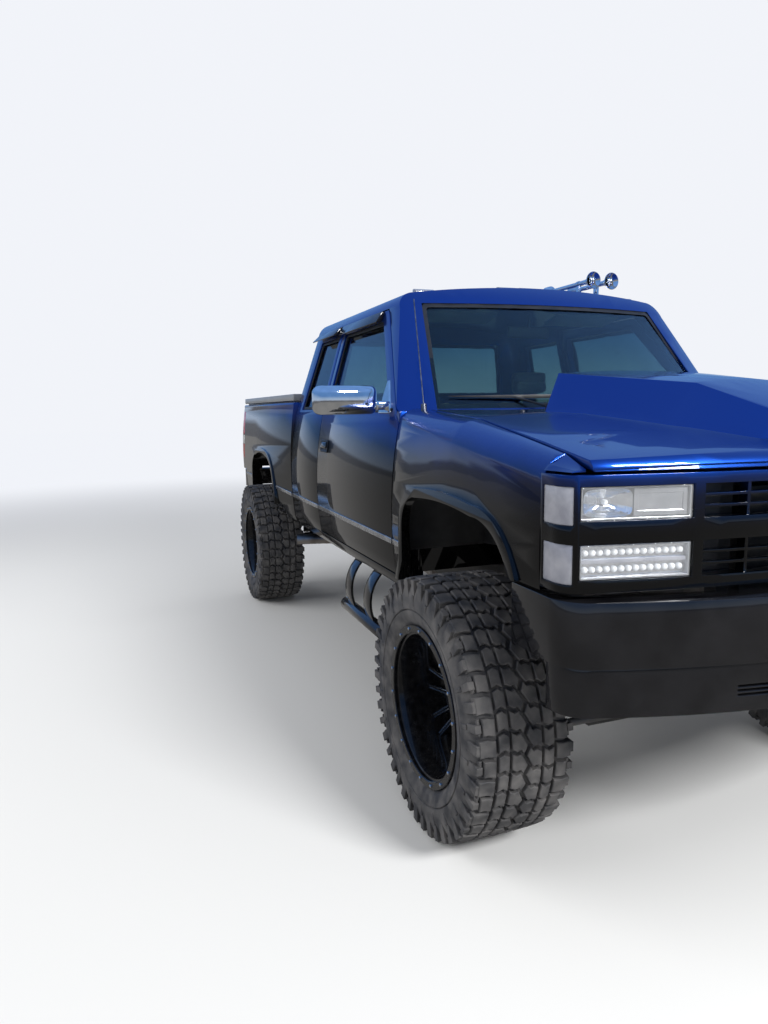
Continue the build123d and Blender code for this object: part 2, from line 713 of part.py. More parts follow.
# Engine, driveline, tank and exhaust
engine_back, engine_half = 330, 290
add("engine_block", block(-engine_half, engine_half, -430, engine_back, 880 + fit, 1330))
gearbox_back = 1420
shaft_z = 772
gearbox = along_x(profile(
    (engine_back + fit, 790), (engine_back + fit, 1090), (engine_back + 200, 1040), (engine_back + 205, 845),
    (gearbox_back, 845), (gearbox_back, 696 + fit), (engine_back + 250, 696 + fit)), -150, 150)
gearbox += block(100, 320, 1240, gearbox_back, 720, 830)
front_pinion = (150, 180, 540)
rear_pinion = (0, wheelbase - 200, tyre_radius + 60)
pinion_housing = rod(rear_pinion, (0, wheelbase, tyre_radius), 62)
rear_shaft = rod((0, gearbox_back - 20, shaft_z), (0, rear_pinion[1] + 20, rear_pinion[2]), 45)
rear_shaft -= Pos(0, -fit, 0) * pinion_housing
rear_shaft = max(rear_shaft.solids(), key=lambda solid: solid.volume)
front_shaft = rod((270, 1250, shaft_z), (150, front_pinion[1] - 20, 540), 30)
differential = Pos(60, 0, 540) * Sphere(118) + rod((150, -60, 540), front_pinion, 60)
differential += rod((-240, 0, 540), (300, 0, 540), 48)
differential += both(rod((235, 0, 538), (kingpin_x - 60, 0, tyre_radius + 4), 24))
add("driveline", gearbox + rear_shaft + front_shaft + differential)
tank = block(rail_outer + fit, 800, 1400, cab_back - 70, 690, floor_under)
add("fuel_tank", fillet(tank.edges(), 40))
pipe_radius = 38
pipe_x, pipe_z = -(engine_half + pipe_radius + fit), 620
pipe_path = FilletPolyline(
    (pipe_x, 150, 990), (pipe_x, 420, pipe_z), (pipe_x, wheelbase - 1194, pipe_z),
    (-600, wheelbase - 874, pipe_z), (-880, wheelbase - 794, pipe_z), radius=90)
exhaust = sweep(Plane(pipe_path @ 0, z_dir=pipe_path % 0) * Circle(pipe_radius), path=pipe_path)
exhaust += Pos(pipe_x + 40, 1800, pipe_z) * Rot(90, 0, 0) * Cylinder(80, 620)
for y in (1300, wheelbase - 1294):
    exhaust += block(-rail_outer, pipe_x, y - 12, y + 12, pipe_z, rail_low - fit)
add("exhaust", exhaust)

# Front suspension: drop brackets and arms
drop_x0, drop_x1 = rail_inner, rail_inner + 53
bracket_low = 350
skid_top = 540 - 118 - fit
brackets = Part()
for y0, y1 in ((-140, -80), (90, 150)):
    brackets += block(-drop_x1, drop_x1, y0, y1, bracket_low, 410)
    brackets += both(block(drop_x0, drop_x1, y0, y1, bracket_low, 840))
brackets += block(-180, 180, -90, 100, skid_top - 16, skid_top)
brackets += both(block(180, drop_x1, -90, 100, bracket_low + 10, 400))
brackets += both(block(150, 182, -90, 100, 390, skid_top))
for shape in (rails, *members):
    brackets -= Pos(0, 0, -fit) * shape
    brackets -= shape
brackets = max(brackets.solids(), key=lambda solid: solid.volume)
low_joint_z, high_joint_z = 345, 664
low_pivot_x = drop_x1 + 26 + fit
high_pivot_x = rail_outer + 24 + fit
low_arm = rod((low_pivot_x, -138, 440), (low_pivot_x, 148, 440), 26)
high_arm = rod((high_pivot_x, -130, 850), (high_pivot_x, 140, 850), 24)
for y in (-96, 106):
    low_arm += rod((low_pivot_x, y, 440), (kingpin_x - 25, y * 0.15, low_joint_z - 4), 17)
    high_arm += rod((high_pivot_x, y, 850), (kingpin_x - 22, y * 0.15, high_joint_z + 2), 13)
low_arm += Pos(kingpin_x, 0, low_joint_z) * Cylinder(40, 36)
high_arm += Pos(kingpin_x, 0, high_joint_z) * Cylinder(32, 30)
add("front_suspension", brackets, low_arm, other_side(low_arm), high_arm, other_side(high_arm))

# Steering knuckles, with an arm that reaches straight ahead to the tie rod
arm_z = 440
eye_height = 30


def knuckle():
    body = rod((kingpin_x, 0, low_joint_z + 18 + fit), (kingpin_x, 0, high_joint_z - 15 - fit), 32)
    body += rod((kingpin_x - 30, 0, tyre_radius), (hub_face_x - fit, 0, tyre_radius), 68)
    body += rod((kingpin_x, 0, arm_z), (kingpin_x, -steer_arm, arm_z), 14)
    body += Pos(kingpin_x, -steer_arm, arm_z) * Cylinder(24, eye_height)
    return body - rod((kingpin_x - 62, 0, tyre_radius + 4), (kingpin_x - 26, 0, tyre_radius + 4), 40)


knuckle_solid = knuckle()
add("knuckle_left", knuckle_solid)
add("knuckle_right", other_side(knuckle_solid))
tie_radius = 15
tie_eye_height = 36
tie_z = arm_z - (eye_height + tie_eye_height) / 2 - fit
tie_rod = rod((-kingpin_x, -steer_arm, tie_z), (kingpin_x, -steer_arm, tie_z), tie_radius)
tie_rod += both(Pos(kingpin_x, -steer_arm, tie_z) * Cylinder(24, tie_eye_height))
add("tie_rod", tie_rod)

# Rear axle, leaf springs and shock absorbers
axle_radius = 48
axle_end = hub_face_x - fit
axle = rod((-axle_end, wheelbase, tyre_radius), (axle_end, wheelbase, tyre_radius), axle_radius)
axle += Pos(0, wheelbase, tyre_radius) * Sphere(165)
axle += pinion_housing
axle += both(rod((axle_end - 60, wheelbase, tyre_radius), (axle_end, wheelbase, tyre_radius), 68))
spring_x = 525
spring_half = 32
eye_front, eye_rear = wheelbase - 640, wheelbase + 700
spring = along_x(profile(
    (eye_front, 800), ((wheelbase, 640), (eye_rear, 830)), (eye_rear, 802),
    ((wheelbase, 612), (eye_front, 772))), spring_x - spring_half, spring_x + spring_half)
spring += along_x(profile(
    (wheelbase - 420, 690), ((wheelbase, 616), (wheelbase + 450, 700)), (wheelbase + 450, 690),
    (wheelbase + 100, 560), (wheelbase - 100, 560), (wheelbase - 420, 680)),
    spring_x - spring_half, spring_x + spring_half)
spring += block(spring_x - 45, spring_x + 45, wheelbase - 60, wheelbase + 60, tyre_radius, 580)
spring -= rod((0, wheelbase, tyre_radius), (hub_face_x, wheelbase, tyre_radius), axle_radius + fit)
for y, z in ((eye_front, 786), (eye_rear, 816)):
    spring += Pos(spring_x, y, z) * Rot(0, 90, 0) * Cylinder(38, 2 * spring_half)
    spring += block(rail_outer + fit, spring_x - spring_half, y - 40, y + 40, z - 30, 960)
shock = rod((spring_x + 60, wheelbase + 90, tyre_radius + 40), (spring_x + 20, wheelbase + 260, 990), 32)
shock += block(spring_x - 10, spring_x + 60, wheelbase + 50, wheelbase + 100, 565, 600)
spring += shock
spring += block(rail_outer + fit, spring_x + 20, wheelbase + 235, wheelbase + 285, 960, 1000)
spring = max(spring.solids(), key=lambda solid: solid.volume)
add("rear_suspension", axle, spring, other_side(spring))

# Wheels and tyres
def rim_section():
    out = rim_width / 2
    return profile(
        (rim_barrel_radius, -out), (rim_radius, -out), (rim_radius, -out + flange_lip),
        (bead_radius, -out + flange_seat),
        (bead_radius, -out + 50), (rim_barrel_radius + 4, -out + 70), (rim_barrel_radius + 4, out - 70),
        (bead_radius, out - 50), (bead_radius, out - flange_seat), (rim_radius, out - flange_lip),
        (rim_radius, out),
        (rim_barrel_radius + 6, out), (rim_barrel_radius - rim_wall, out - 60),
        (rim_barrel_radius - rim_wall, -out + 60))


def spoke_pair():
    """Two slim legs, side by side, that lean out from the hub to the barrel and spread apart."""
    face = hub_face_x - wheel_centre_x
    foot, tip = hub_radius - 4, rim_barrel_radius - 5
    side = profile((tip, face + 44), (foot, face + 6), (foot, face + 38), (tip, face + 84))
    leg = Pos(0, leg_gap / 2, 0) * extrude(Plane.ZX * side, amount=leg_width, dir=(0, 1, 0))
    leg = Rot(-leg_spread, 0, 0) * leg
    return [leg, mirror(leg, Plane.XZ)]


def wheel():
    """A deep-dish wheel about X, its outer face towards +X and its middle plane at 0."""
    solid = Rot(0, 0, -90) * revolve(rim_section(), axis=Axis.Y)
    face = hub_face_x - wheel_centre_x
    solid += Pos(face + 17, 0, 0) * Rot(0, 90, 0) * Cylinder(hub_radius + 14, 34)
    solid += Pos(face + 50, 0, 0) * Rot(0, 90, 0) * Cylinder(56, 70)
    solid += [Rot(i * 360 / spoke_count, 0, 0) * leg for i in range(spoke_count) for leg in spoke_pair()]
    for i in range(stud_count):
        turn = i * 2 * pi / stud_count
        place = Pos(face, stud_circle / 2 * cos(turn), stud_circle / 2 * sin(turn))
        solid -= place * Rot(0, 90, 0) * Cylinder(stud_hole / 2, 200)
    return solid


def ring_band(rings, sides):
    """A solid of flat facets about X. Each ring is a place along X and a radius to its facets."""
    corners = []
    for x, radius in rings:
        reach = radius / cos(pi / sides)
        turns = [(i + 0.5) * 2 * pi / sides for i in range(sides)]
        corners.append([(x, reach * sin(turn), reach * cos(turn)) for turn in turns])
    faces = [Face(Wire.make_polygon(corners[0])), Face(Wire.make_polygon(corners[-1]))]
    for near, far in zip(corners, corners[1:]):
        for i in range(sides):
            faces.append(Face(Wire.make_polygon([near[i - 1], near[i], far[i], far[i - 1]])))
    return Solid(Shell(faces))


def mirrored(half_rings):
    """A full row of rings, given those of the +X half from the middle outwards."""
    return [(-x, radius) for x, radius in reversed(half_rings)] + list(half_rings)


# A tyre's rings, from its middle outwards: place and radius to the facets
bead_foot = rim_width / 2 - flange_seat - 1
carcass_rings = ((tread_width / 2, tread_base), (tyre_width / 2, 392),
                 (rim_width / 2 - flange_lip - 1, rim_radius + 2), (bead_foot, bead_radius + 5))
hollow_rings = ((tyre_width / 2 - 34, tread_base - 26), (bead_foot - 20, bead_radius + fit),
                (bead_foot + 5, bead_radius + fit))
# One block's corners, seen from outside the tyre: place along the axle, place round the tyre
block_corners = ((5, -34), (58, -50), (tread_width / 2, -40), (tread_width / 2, 47), (5, 34))


def tread_block():
    """A block that runs from the middle groove out to the tread's edge."""
    face = Polygon(*block_corners, align=None)
    return extrude(Plane.XY.offset(tread_base - 10) * face, amount=tyre_tip - tread_base + 10)


def tyre():
    """A tyre about X: the carcass in flat facets, with its blocks fused on."""
    corner_turn = degrees(atan2(-block_corners[1][1], tyre_tip))
    carcass = ring_band(mirrored(carcass_rings), tread_pitches)
    solid = Rot(corner_turn, 0, 0) * (carcass - ring_band(mirrored(hollow_rings), tread_pitches))
    block_pair = [tread_block(), Rot(0, 0, 180) * tread_block()]
    turns = [corner_turn + i * 360 / tread_pitches for i in range(tread_pitches)]
    return solid + [Rot(turn, 0, 0) * block for turn in turns for block in block_pair]


wheel_solid, tyre_solid = wheel(), tyre()
for end, y in (("front", 0), ("rear", wheelbase)):
    for side, s in (("left", 1), ("right", -1)):
        place = Pos(s * wheel_centre_x, y, tyre_radius) * Rot(0, 0, 0 if s > 0 else 180)
        add(f"wheel_{end}_{side}", place * wheel_solid)
        add(f"tyre_{end}_{side}", place * tyre_solid)

# Small outside pieces, each cut to sit against the cab
beside_cab = Pos(fit, 0, 0) * cab_solid
under_roof = Pos(0, 0, fit) * cab_solid
mirror_face = profile(
    (968, 1545), (1240, 1545), ((1258, 1551), (1262, 1570)), (1262, 1640), ((1255, 1668), (1225, 1672)),
    (1010, 1668), ((975, 1660), (968, 1640)))
mirror_y = 705
mirror_dome = along_z(profile(
    (960, mirror_y + 110), (960, mirror_y + 30), ((1110, mirror_y), (1270, mirror_y + 38)),
    (1270, mirror_y + 110)), 1500, 1700)
mirror_recess = block(985, 1246, mirror_y + 102, mirror_y + 120, 1560, 1656)
door_mirror = (along_y(mirror_face, mirror_y, mirror_y + 110) & mirror_dome) - mirror_recess
door_mirror += block(905, 972, mirror_y + 30, mirror_y + 85, 1565, 1605)
door_mirror += along_x(profile(
    (door_pillar_low + 45, belt + 12), (door_pillar_low + 200, belt + 12),
    (door_pillar_low + 185, belt + 165)), 860, 925)
door_mirror -= beside_cab
door_mirror = max(door_mirror.solids(), key=lambda solid: solid.volume)


def visor(y0, y1, drop, reach):
    """A dark rain guard that stands out over the top of a side window."""
    low, out = rail_height + 2, rail_half + reach
    strip = profile((rail_half - 30, low), (out, low - drop), (out + 4, low + 4 - drop),
                    (rail_half + 12, low + 12), (rail_half - 30, low + 12))
    pieces = (along_y(strip, y0, y1) - beside_cab).solids()
    return max(pieces, key=lambda solid: solid.volume)


door_visor = visor(door_pillar_high + 60, door_rear - 20, 44, 42)
add("mirror_left", door_mirror, door_visor)
add("mirror_right", other_side(door_mirror), other_side(door_visor))
quarter_visor = visor(quarter_front - 30, quarter_rear - 40, 40, 60)
add("quarter_visors", quarter_visor, other_side(quarter_visor))

# Roof lamps: low wedges, highest at the back
roof_lamp_side = profile((1040, -20), (1044, 8), ((1062, 18), (1086, 20)), (1096, -20))
roof_lamps = [Pos(0, 0, roof_height(x)) * along_x(roof_lamp_side, x - 52, x + 52) - under_roof
              for x in (-600, -130, 0, 130, 600)]
add("roof_lamps", *roof_lamps)

horn_z = 2258
horn_mouth = 1130
horn_face = profile((0, 0), (14, 0), (14, 60), ((24, 96), (47, 120)), (47, 126), (0, 126))
horns = []
for x, length in ((455, 420), (575, 330)):
    trumpet = Pos(x, horn_mouth + 126, horn_z) * Rot(180, 0, 0) * revolve(horn_face, axis=Axis.Y)
    trumpet += rod((x, horn_mouth + 60, horn_z), (x, horn_mouth + length, horn_z), 13)
    trumpet += rod((x, horn_mouth + length, horn_z), (x, horn_mouth + length + 55, horn_z), 34)
    for foot in (horn_mouth + 140, horn_mouth + length - 20):
        trumpet += block(x - 10, x + 10, foot - 16, foot + 16, 2120, horn_z)
    horns.append(trumpet - under_roof)
add("roof_horns", *horns)
mast = rod((-858, 480, 1575), (-812, 690, 2045), 2.6) + rod((-860, 472, 1500), (-857, 484, 1585), 12)
mast -= Pos(0, 0, fit) * other_side(fender_solid)
add("antenna", max(mast.solids(), key=lambda solid: solid.volume))
wipers = []
blade_z = 1612
blade_gap = 10
for x0, x1, pivot in ((-700, -170, -330), (20, 600, 300)):
    t = (blade_z - screen_low) / (screen_high - screen_low)
    mid = screen_low_mid + t * (screen_high_mid - screen_low_mid)
    corner = screen_low_corner + t * (screen_high_corner - screen_low_corner)
    half = screen_low_half + t * (screen_high_half - screen_low_half)
    (xa, ya), (xm, ym), (xb, yb) = [
        (x, mid + (corner - mid) * (x / half) ** 2 - blade_gap) for x in (x0, (x0 + x1) / 2, x1)]
    blade = profile((xa, ya - 5), ((xm, ym - 5), (xb, yb - 5)), (xb, yb + 5), ((xm, ym + 5), (xa, ya + 5)))
    blade = along_z(blade, blade_z - 8, blade_z + 8)
    seat_y = screen_low_mid - 20 + (screen_low_corner - screen_low_mid) * (pivot / screen_low_half) ** 2
    arm = rod((pivot, seat_y - 10, screen_low - 30), (pivot, seat_y - 10, screen_low + 22), 11)
    arm += rod((pivot, seat_y - 10, screen_low + 12), (xm, ym, blade_z), 5)
    wipers.append((arm + blade) - under_roof)
add("wipers", *wipers)

# Steps: a tube, open at its front end, on two broad curved arms
step_x, step_z, step_radius = -905, 470, 36
step_front, step_back = 890, 1500
step = rod((step_x, step_front, step_z), (step_x, step_back, step_z), step_radius)
step -= rod((step_x, step_front - 1, step_z), (step_x, step_front + 120, step_z), step_radius - 5)
arm_face = profile(
    (step_x, step_z), ((step_x - 34, 620), (-862, sill_bottom - fit)), (-848, sill_bottom - fit),
    ((step_x - 22, 620), (step_x + 14, step_z)))
for y in (step_front + 150, step_back - 150):
    step += along_y(arm_face, y - 50, y + 50)
add("side_steps", step, other_side(step))

if __name__ == "__main__":
    length = front_overhang + wheelbase + rear_overhang
    origin = Pos(0, front_overhang - length / 2, 0)
    os.makedirs("parts", exist_ok=True)
    for name, solids in nodes.items():
        moved = [origin * solid for solid in solids]
        export_step(moved[0] if len(moved) == 1 else Compound(children=moved), f"parts/{name}.step")
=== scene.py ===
# %% [markdown]
# # A lifted pickup truck
# The truck's solids come packed from CAD, in metres, with the ground at Z 0 and the truck's nose towards -Y.
# This file dresses them: it keeps each solid where it is, gives it a paint, metal, glass or rubber finish,
# and adds the pieces that are too fine for the CAD model. Loading the frame comes first.

# %% Load the imported truck
import json
from math import cos, exp, pi, radians, sin

import bpy
from mathutils import Matrix, Vector


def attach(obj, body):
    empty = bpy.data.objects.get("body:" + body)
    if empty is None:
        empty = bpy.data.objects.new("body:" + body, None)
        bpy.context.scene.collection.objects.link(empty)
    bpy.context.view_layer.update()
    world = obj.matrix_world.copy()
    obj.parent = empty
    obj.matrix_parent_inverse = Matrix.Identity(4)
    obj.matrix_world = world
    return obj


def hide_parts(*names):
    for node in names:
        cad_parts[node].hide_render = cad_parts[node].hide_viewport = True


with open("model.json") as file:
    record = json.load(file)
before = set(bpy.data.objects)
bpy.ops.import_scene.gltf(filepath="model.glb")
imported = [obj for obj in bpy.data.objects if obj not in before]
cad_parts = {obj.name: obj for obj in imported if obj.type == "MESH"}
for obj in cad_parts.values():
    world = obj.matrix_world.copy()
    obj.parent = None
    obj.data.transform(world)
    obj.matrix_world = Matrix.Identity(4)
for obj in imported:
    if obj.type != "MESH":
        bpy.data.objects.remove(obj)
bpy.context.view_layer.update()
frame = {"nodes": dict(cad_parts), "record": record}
nodes = frame["nodes"]
WHEELBASE = 3.594
FRONT_AXLE_Y = -1.8685
REAR_AXLE_Y = FRONT_AXLE_Y + WHEELBASE
AXLES = (("front", FRONT_AXLE_Y), ("rear", REAR_AXLE_Y))
SIDES = (("left", 1), ("right", -1))

# %% [markdown]
# ## Camera
# The photograph was taken from eye height at the truck's front right corner, with a wide lens.
# The camera below has the same place, direction and lens. A camera looks along its own -Z with +Y up, so
# its three axes are worked out from the yaw, the pitch and a slight roll, and set as one matrix.

# %% Camera at the photograph's viewpoint
yaw, pitch, roll = radians(20.153), radians(8.232), radians(-0.8455)
look = Vector((sin(yaw) * cos(pitch), cos(yaw) * cos(pitch), -sin(pitch)))
level_right = Vector((cos(yaw), -sin(yaw), 0))
level_up = level_right.cross(look)
right = cos(roll) * level_right + sin(roll) * level_up
up = -sin(roll) * level_right + cos(roll) * level_up
camera_data = bpy.data.cameras.new("photo_camera")
camera_data.sensor_width = 36
camera_data.lens = 25.03
camera_data.clip_end = 200
camera = bpy.data.objects.new("photo_camera", camera_data)
camera.matrix_world = Matrix((
    (right.x, up.x, -look.x, -2.0655), (right.y, up.y, -look.y, -4.1727),
    (right.z, up.z, -look.z, 1.5668), (0, 0, 0, 1)))
bpy.context.scene.collection.objects.link(camera)
bpy.context.scene.camera = camera
print("camera looks along", tuple(round(v, 3) for v in look))

# %% [markdown]
# ## Studio
# A pale floor and a pale world stand in for a photo studio. Gloss paint and chrome show mostly what they
# reflect, and a truck outdoors reflects dark ground, a pale band at the horizon and a deeper blue sky above
# it. So a mirror ray meets a dark floor and a world with that band, while the camera sees both pale, and the
# light on the truck stays at a plain level. Only the key lamp in front is mirrored in the paint.

# %% Helpers that build a tree of nodes


def add_node(tree, kind, **values):
    """Adds a node and sets its sockets: From_Min=5 sets the one that is named From Min."""
    made = tree.nodes.new("ShaderNode" + kind)
    for socket, value in values.items():
        made.inputs[socket.replace("_", " ")].default_value = value
    return made


def blend(tree, factor, first, second):
    """Shows the first shader where the factor is 0 and the second where it is 1."""
    made = add_node(tree, "MixShader")
    for socket, output in enumerate((factor, first, second)):
        tree.links.new(output, made.inputs[socket])
    return made.outputs[0]


def ranged(tree, value, curve="LINEAR", **limits):
    """Maps a value from one range to another."""
    made = add_node(tree, "MapRange", **limits)
    made.interpolation_type = curve
    tree.links.new(value, made.inputs["Value"])
    return made.outputs["Result"]


def calculated(tree, operation, *values):
    """Joins values in one sum. Each value is a number, or another node's output."""
    made = add_node(tree, "Math")
    made.operation = operation
    for socket, value in enumerate(values):
        if isinstance(value, (int, float)):
            made.inputs[socket].default_value = value
        else:
            tree.links.new(value, made.inputs[socket])
    return made.outputs[0]


def ramp(tree, source, stops):
    """Turns a 0 to 1 value into colours. Each stop is a place and a colour."""
    made = add_node(tree, "ValToRGB")
    while len(made.color_ramp.elements) < len(stops):
        made.color_ramp.elements.new(0.5)
    for element, (place, colour) in zip(made.color_ramp.elements, stops):
        element.position = place
        element.color = (*colour, 1)
    tree.links.new(source, made.inputs["Fac"])
    return made.outputs["Color"]


def own_coordinates(tree):
    """A point's place in metres, because every mesh is placed in metres."""
    return add_node(tree, "TexCoord").outputs["Object"]


def split(tree, vector):
    made = add_node(tree, "SeparateXYZ")
    tree.links.new(vector, made.inputs["Vector"])
    return made.outputs


# %% The floor
bpy.ops.object.select_all(action="DESELECT")
bpy.ops.mesh.primitive_plane_add(size=120, location=(0, 0, 0))
floor = bpy.context.object
floor.name = "studio_floor"
floor_paint = bpy.data.materials.new("studio_floor")
floor_paint.use_nodes = True
tree = floor_paint.node_tree
shader = tree.nodes["Principled BSDF"]
shader.inputs["Base Color"].default_value = (0.74, 0.74, 0.73, 1)
shader.inputs["Roughness"].default_value = 0.75
shader.inputs["Specular IOR Level"].default_value = 0.2
spread = add_node(tree, "VectorMath")
spread.operation = "LENGTH"
tree.links.new(own_coordinates(tree), spread.inputs[0])
far = ranged(tree, spread.outputs["Value"], "SMOOTHSTEP", From_Min=5, From_Max=14)
glow = add_node(tree, "Emission", Color=(0.88, 0.9, 0.95, 1))
mirrored_floor = add_node(tree, "Emission", Color=(0.24, 0.235, 0.23, 1))
faded = blend(tree, far, shader.outputs[0], glow.outputs[0])
shown = blend(tree, add_node(tree, "LightPath").outputs["Is Glossy Ray"], faded, mirrored_floor.outputs[0])
tree.links.new(shown, tree.nodes["Material Output"].inputs["Surface"])
floor.data.materials.append(floor_paint)

# %% The world and the lamps
world = bpy.data.worlds.new("studio")
bpy.context.scene.world = world
world.use_nodes = True
tree = world.node_tree
tree.nodes.clear()
rays = add_node(tree, "LightPath").outputs
seen = calculated(tree, "MAXIMUM", rays["Is Camera Ray"], rays["Is Transmission Ray"])
sky = add_node(tree, "Background", Color=(0.93, 0.95, 1.0, 1))
tree.links.new(ranged(tree, seen, To_Min=0.42, To_Max=0.95), sky.inputs["Strength"])
mirrored_sky = add_node(tree, "Background")
height = split(tree, add_node(tree, "TexCoord").outputs["Generated"])["Z"]
tree.links.new(ramp(tree, height, (
    (0.0, (0.13, 0.13, 0.14)), (0.012, (0.46, 0.56, 0.72)), (0.05, (0.32, 0.45, 0.66)),
    (0.09, (0.11, 0.25, 0.54)), (0.5, (0.16, 0.33, 0.72)))), mirrored_sky.inputs["Color"])
shown = blend(tree, rays["Is Glossy Ray"], sky.outputs[0], mirrored_sky.outputs[0])
tree.links.new(shown, add_node(tree, "OutputWorld").inputs["Surface"])


def lamp(name, place, aim, size, power, mirrored=True):
    light = bpy.data.lights.new(name, "AREA")
    light.shape = "RECTANGLE"
    light.size, light.size_y = size
    light.energy = power
    holder = bpy.data.objects.new(name, light)
    holder.location = place
    holder.rotation_euler = (Vector(aim) - Vector(place)).to_track_quat("-Z", "Y").to_euler()
    holder.visible_glossy = mirrored
    bpy.context.scene.collection.objects.link(holder)
    return holder


lamp("key_lamp", (1.2, -7.5, 4.8), (0, -1, 1.0), (2.2, 1.5), 620)
lamp("side_lamp", (-7, 0.5, 4.5), (0, 0, 1.2), (7, 2), 330, mirrored=False)
lamp("back_lamp", (2, 8, 6), (0, 0, 1.2), (6, 3), 180, mirrored=False)
bpy.context.scene.view_settings.view_transform = "Standard"

# %% [markdown]
# ## Finishes
# Every surface gets a material made of nodes. Each starts from the Principled shader, and most take a little
# noise in colour, roughness and bump, at the real scale of that surface: flakes in paint, grain in plastic,
# dust on rubber. The patterns read Object coordinates, because every mesh is placed in metres.

# %% Helpers that make a finish


def new_finish(name, colour, roughness=0.5, metallic=0.0, coat=0.0, specular=0.5):
    """A material with its Principled shader, and the tree to add nodes to."""
    made = bpy.data.materials.new(name)
    made.use_nodes = True
    shader = made.node_tree.nodes["Principled BSDF"]
    for socket, value in (("Base Color", (*colour, 1)), ("Roughness", roughness), ("Metallic", metallic),
                          ("Coat Weight", coat), ("Coat Roughness", 0.03), ("Coat IOR", 1.34),
                          ("Specular IOR Level", specular)):
        shader.inputs[socket].default_value = value
    made.diffuse_color = (*colour, 1)
    return made, made.node_tree, shader


def place_noise(tree, scale, detail=3.0, kind="Noise", bands=None):
    """The value of a texture that reads the piece's own coordinates in metres."""
    texture = add_node(tree, "Tex" + kind, Scale=scale)
    if "Detail" in texture.inputs:
        texture.inputs["Detail"].default_value = detail
    if bands:
        texture.bands_direction = bands
    tree.links.new(own_coordinates(tree), texture.inputs["Vector"])
    return texture.outputs["Fac" if "Fac" in texture.outputs else "Distance"]


def vary_colour(tree, shader, value, dark, light, low=0.35, high=0.65):
    tree.links.new(ramp(tree, value, [(low, dark), (high, light)]), shader.inputs["Base Color"])


def vary_roughness(tree, shader, value, low, high):
    tree.links.new(ranged(tree, value, To_Min=low, To_Max=high), shader.inputs["Roughness"])


def add_bump(tree, shader, value, depth, strength=0.5):
    bump = add_node(tree, "Bump", Distance=depth, Strength=strength)
    tree.links.new(value, bump.inputs["Height"])
    tree.links.new(bump.outputs["Normal"], shader.inputs["Normal"])


def noisy(name, base, noise, shades=None, rough=None, bump=None, **sockets):
    """A finish whose colour and roughness follow one noise, with a bump that may follow another.

    base is what new_finish takes and noise what place_noise takes. shades is two colours and, if need be,
    where the noise passes from one to the other. rough is a range, and bump is a noise, a depth and a
    strength. Other sockets of the shader are named with underscores: Coat_IOR=1.5.
    """
    made, tree, shader = new_finish(name, *base)
    value = place_noise(tree, *noise)
    if shades:
        vary_colour(tree, shader, value, *shades)
    if rough:
        vary_roughness(tree, shader, value, *rough)
    if bump:
        own_noise, *depth = bump
        add_bump(tree, shader, value if own_noise == noise else place_noise(tree, *own_noise), *depth)
    for socket, number in sockets.items():
        shader.inputs[socket.replace("_", " ")].default_value = number
    return made


# %% [markdown]
# ### The body paint, blue above and black below
# The body is bright metallic blue on the hood, roof and tops of the fenders, and it darkens to black lower
# down, on the sides and nose. One material does both, so that the change runs over the gaps between panels:
# the height of a point above the ground picks its colour, and a little noise makes the edge of the change
# soft and uneven. Fine cells stand for the metal flakes, and a clear coat on top gives the sharp gloss.

# %% Body paint from blue to black
FADE_LOW, FADE_HIGH, FADE_RISE = 1.23, 1.50, 0.05
FADE_SWAY = 0.14
FADE_LIFT = FADE_SWAY / 2 + 2.0 * FADE_RISE
body_paint, tree, shader = new_finish("body_paint", (0.004, 0.05, 0.33), 0.3, 0.85, 1.0, 0.2)
shader.inputs["Coat IOR"].default_value = 1.45
point = split(tree, own_coordinates(tree))
sway = calculated(tree, "MULTIPLY_ADD", place_noise(tree, 2.2), FADE_SWAY, point["Z"])
climb = calculated(tree, "MULTIPLY_ADD", point["Y"], -FADE_RISE, sway)
fade = ranged(tree, climb, "SMOOTHSTEP", From_Min=FADE_LOW + FADE_LIFT, From_Max=FADE_HIGH + FADE_LIFT)
colours = ramp(tree, fade, [
    (0.0, (0.0022, 0.0024, 0.0034)), (0.4, (0.003, 0.012, 0.055)), (1.0, (0.004, 0.052, 0.34))])
sparkle = ramp(tree, place_noise(tree, 1400, kind="Voronoi"), [
    (0.0, (1.5, 1.5, 1.5)), (0.55, (0.78, 0.78, 0.78))])
mixed = tree.nodes.new("ShaderNodeMix")
mixed.data_type = "RGBA"
mixed.blend_type = "MULTIPLY"
mixed.inputs["Factor"].default_value = 1
tree.links.new(colours, mixed.inputs["A"])
tree.links.new(sparkle, mixed.inputs["B"])
tree.links.new(mixed.outputs["Result"], shader.inputs["Base Color"])
vary_roughness(tree, shader, place_noise(tree, 900), 0.24, 0.38)

# %% [markdown]
# ### Black, chrome and bare metal
# The bumpers and the wheels are plain gloss black, which shows almost only what it reflects. Chrome is a
# metal shader with hardly any roughness. Milled aluminium has a fine grain in its roughness and its bump,
# and the suspension parts are cast or painted and carry dust.

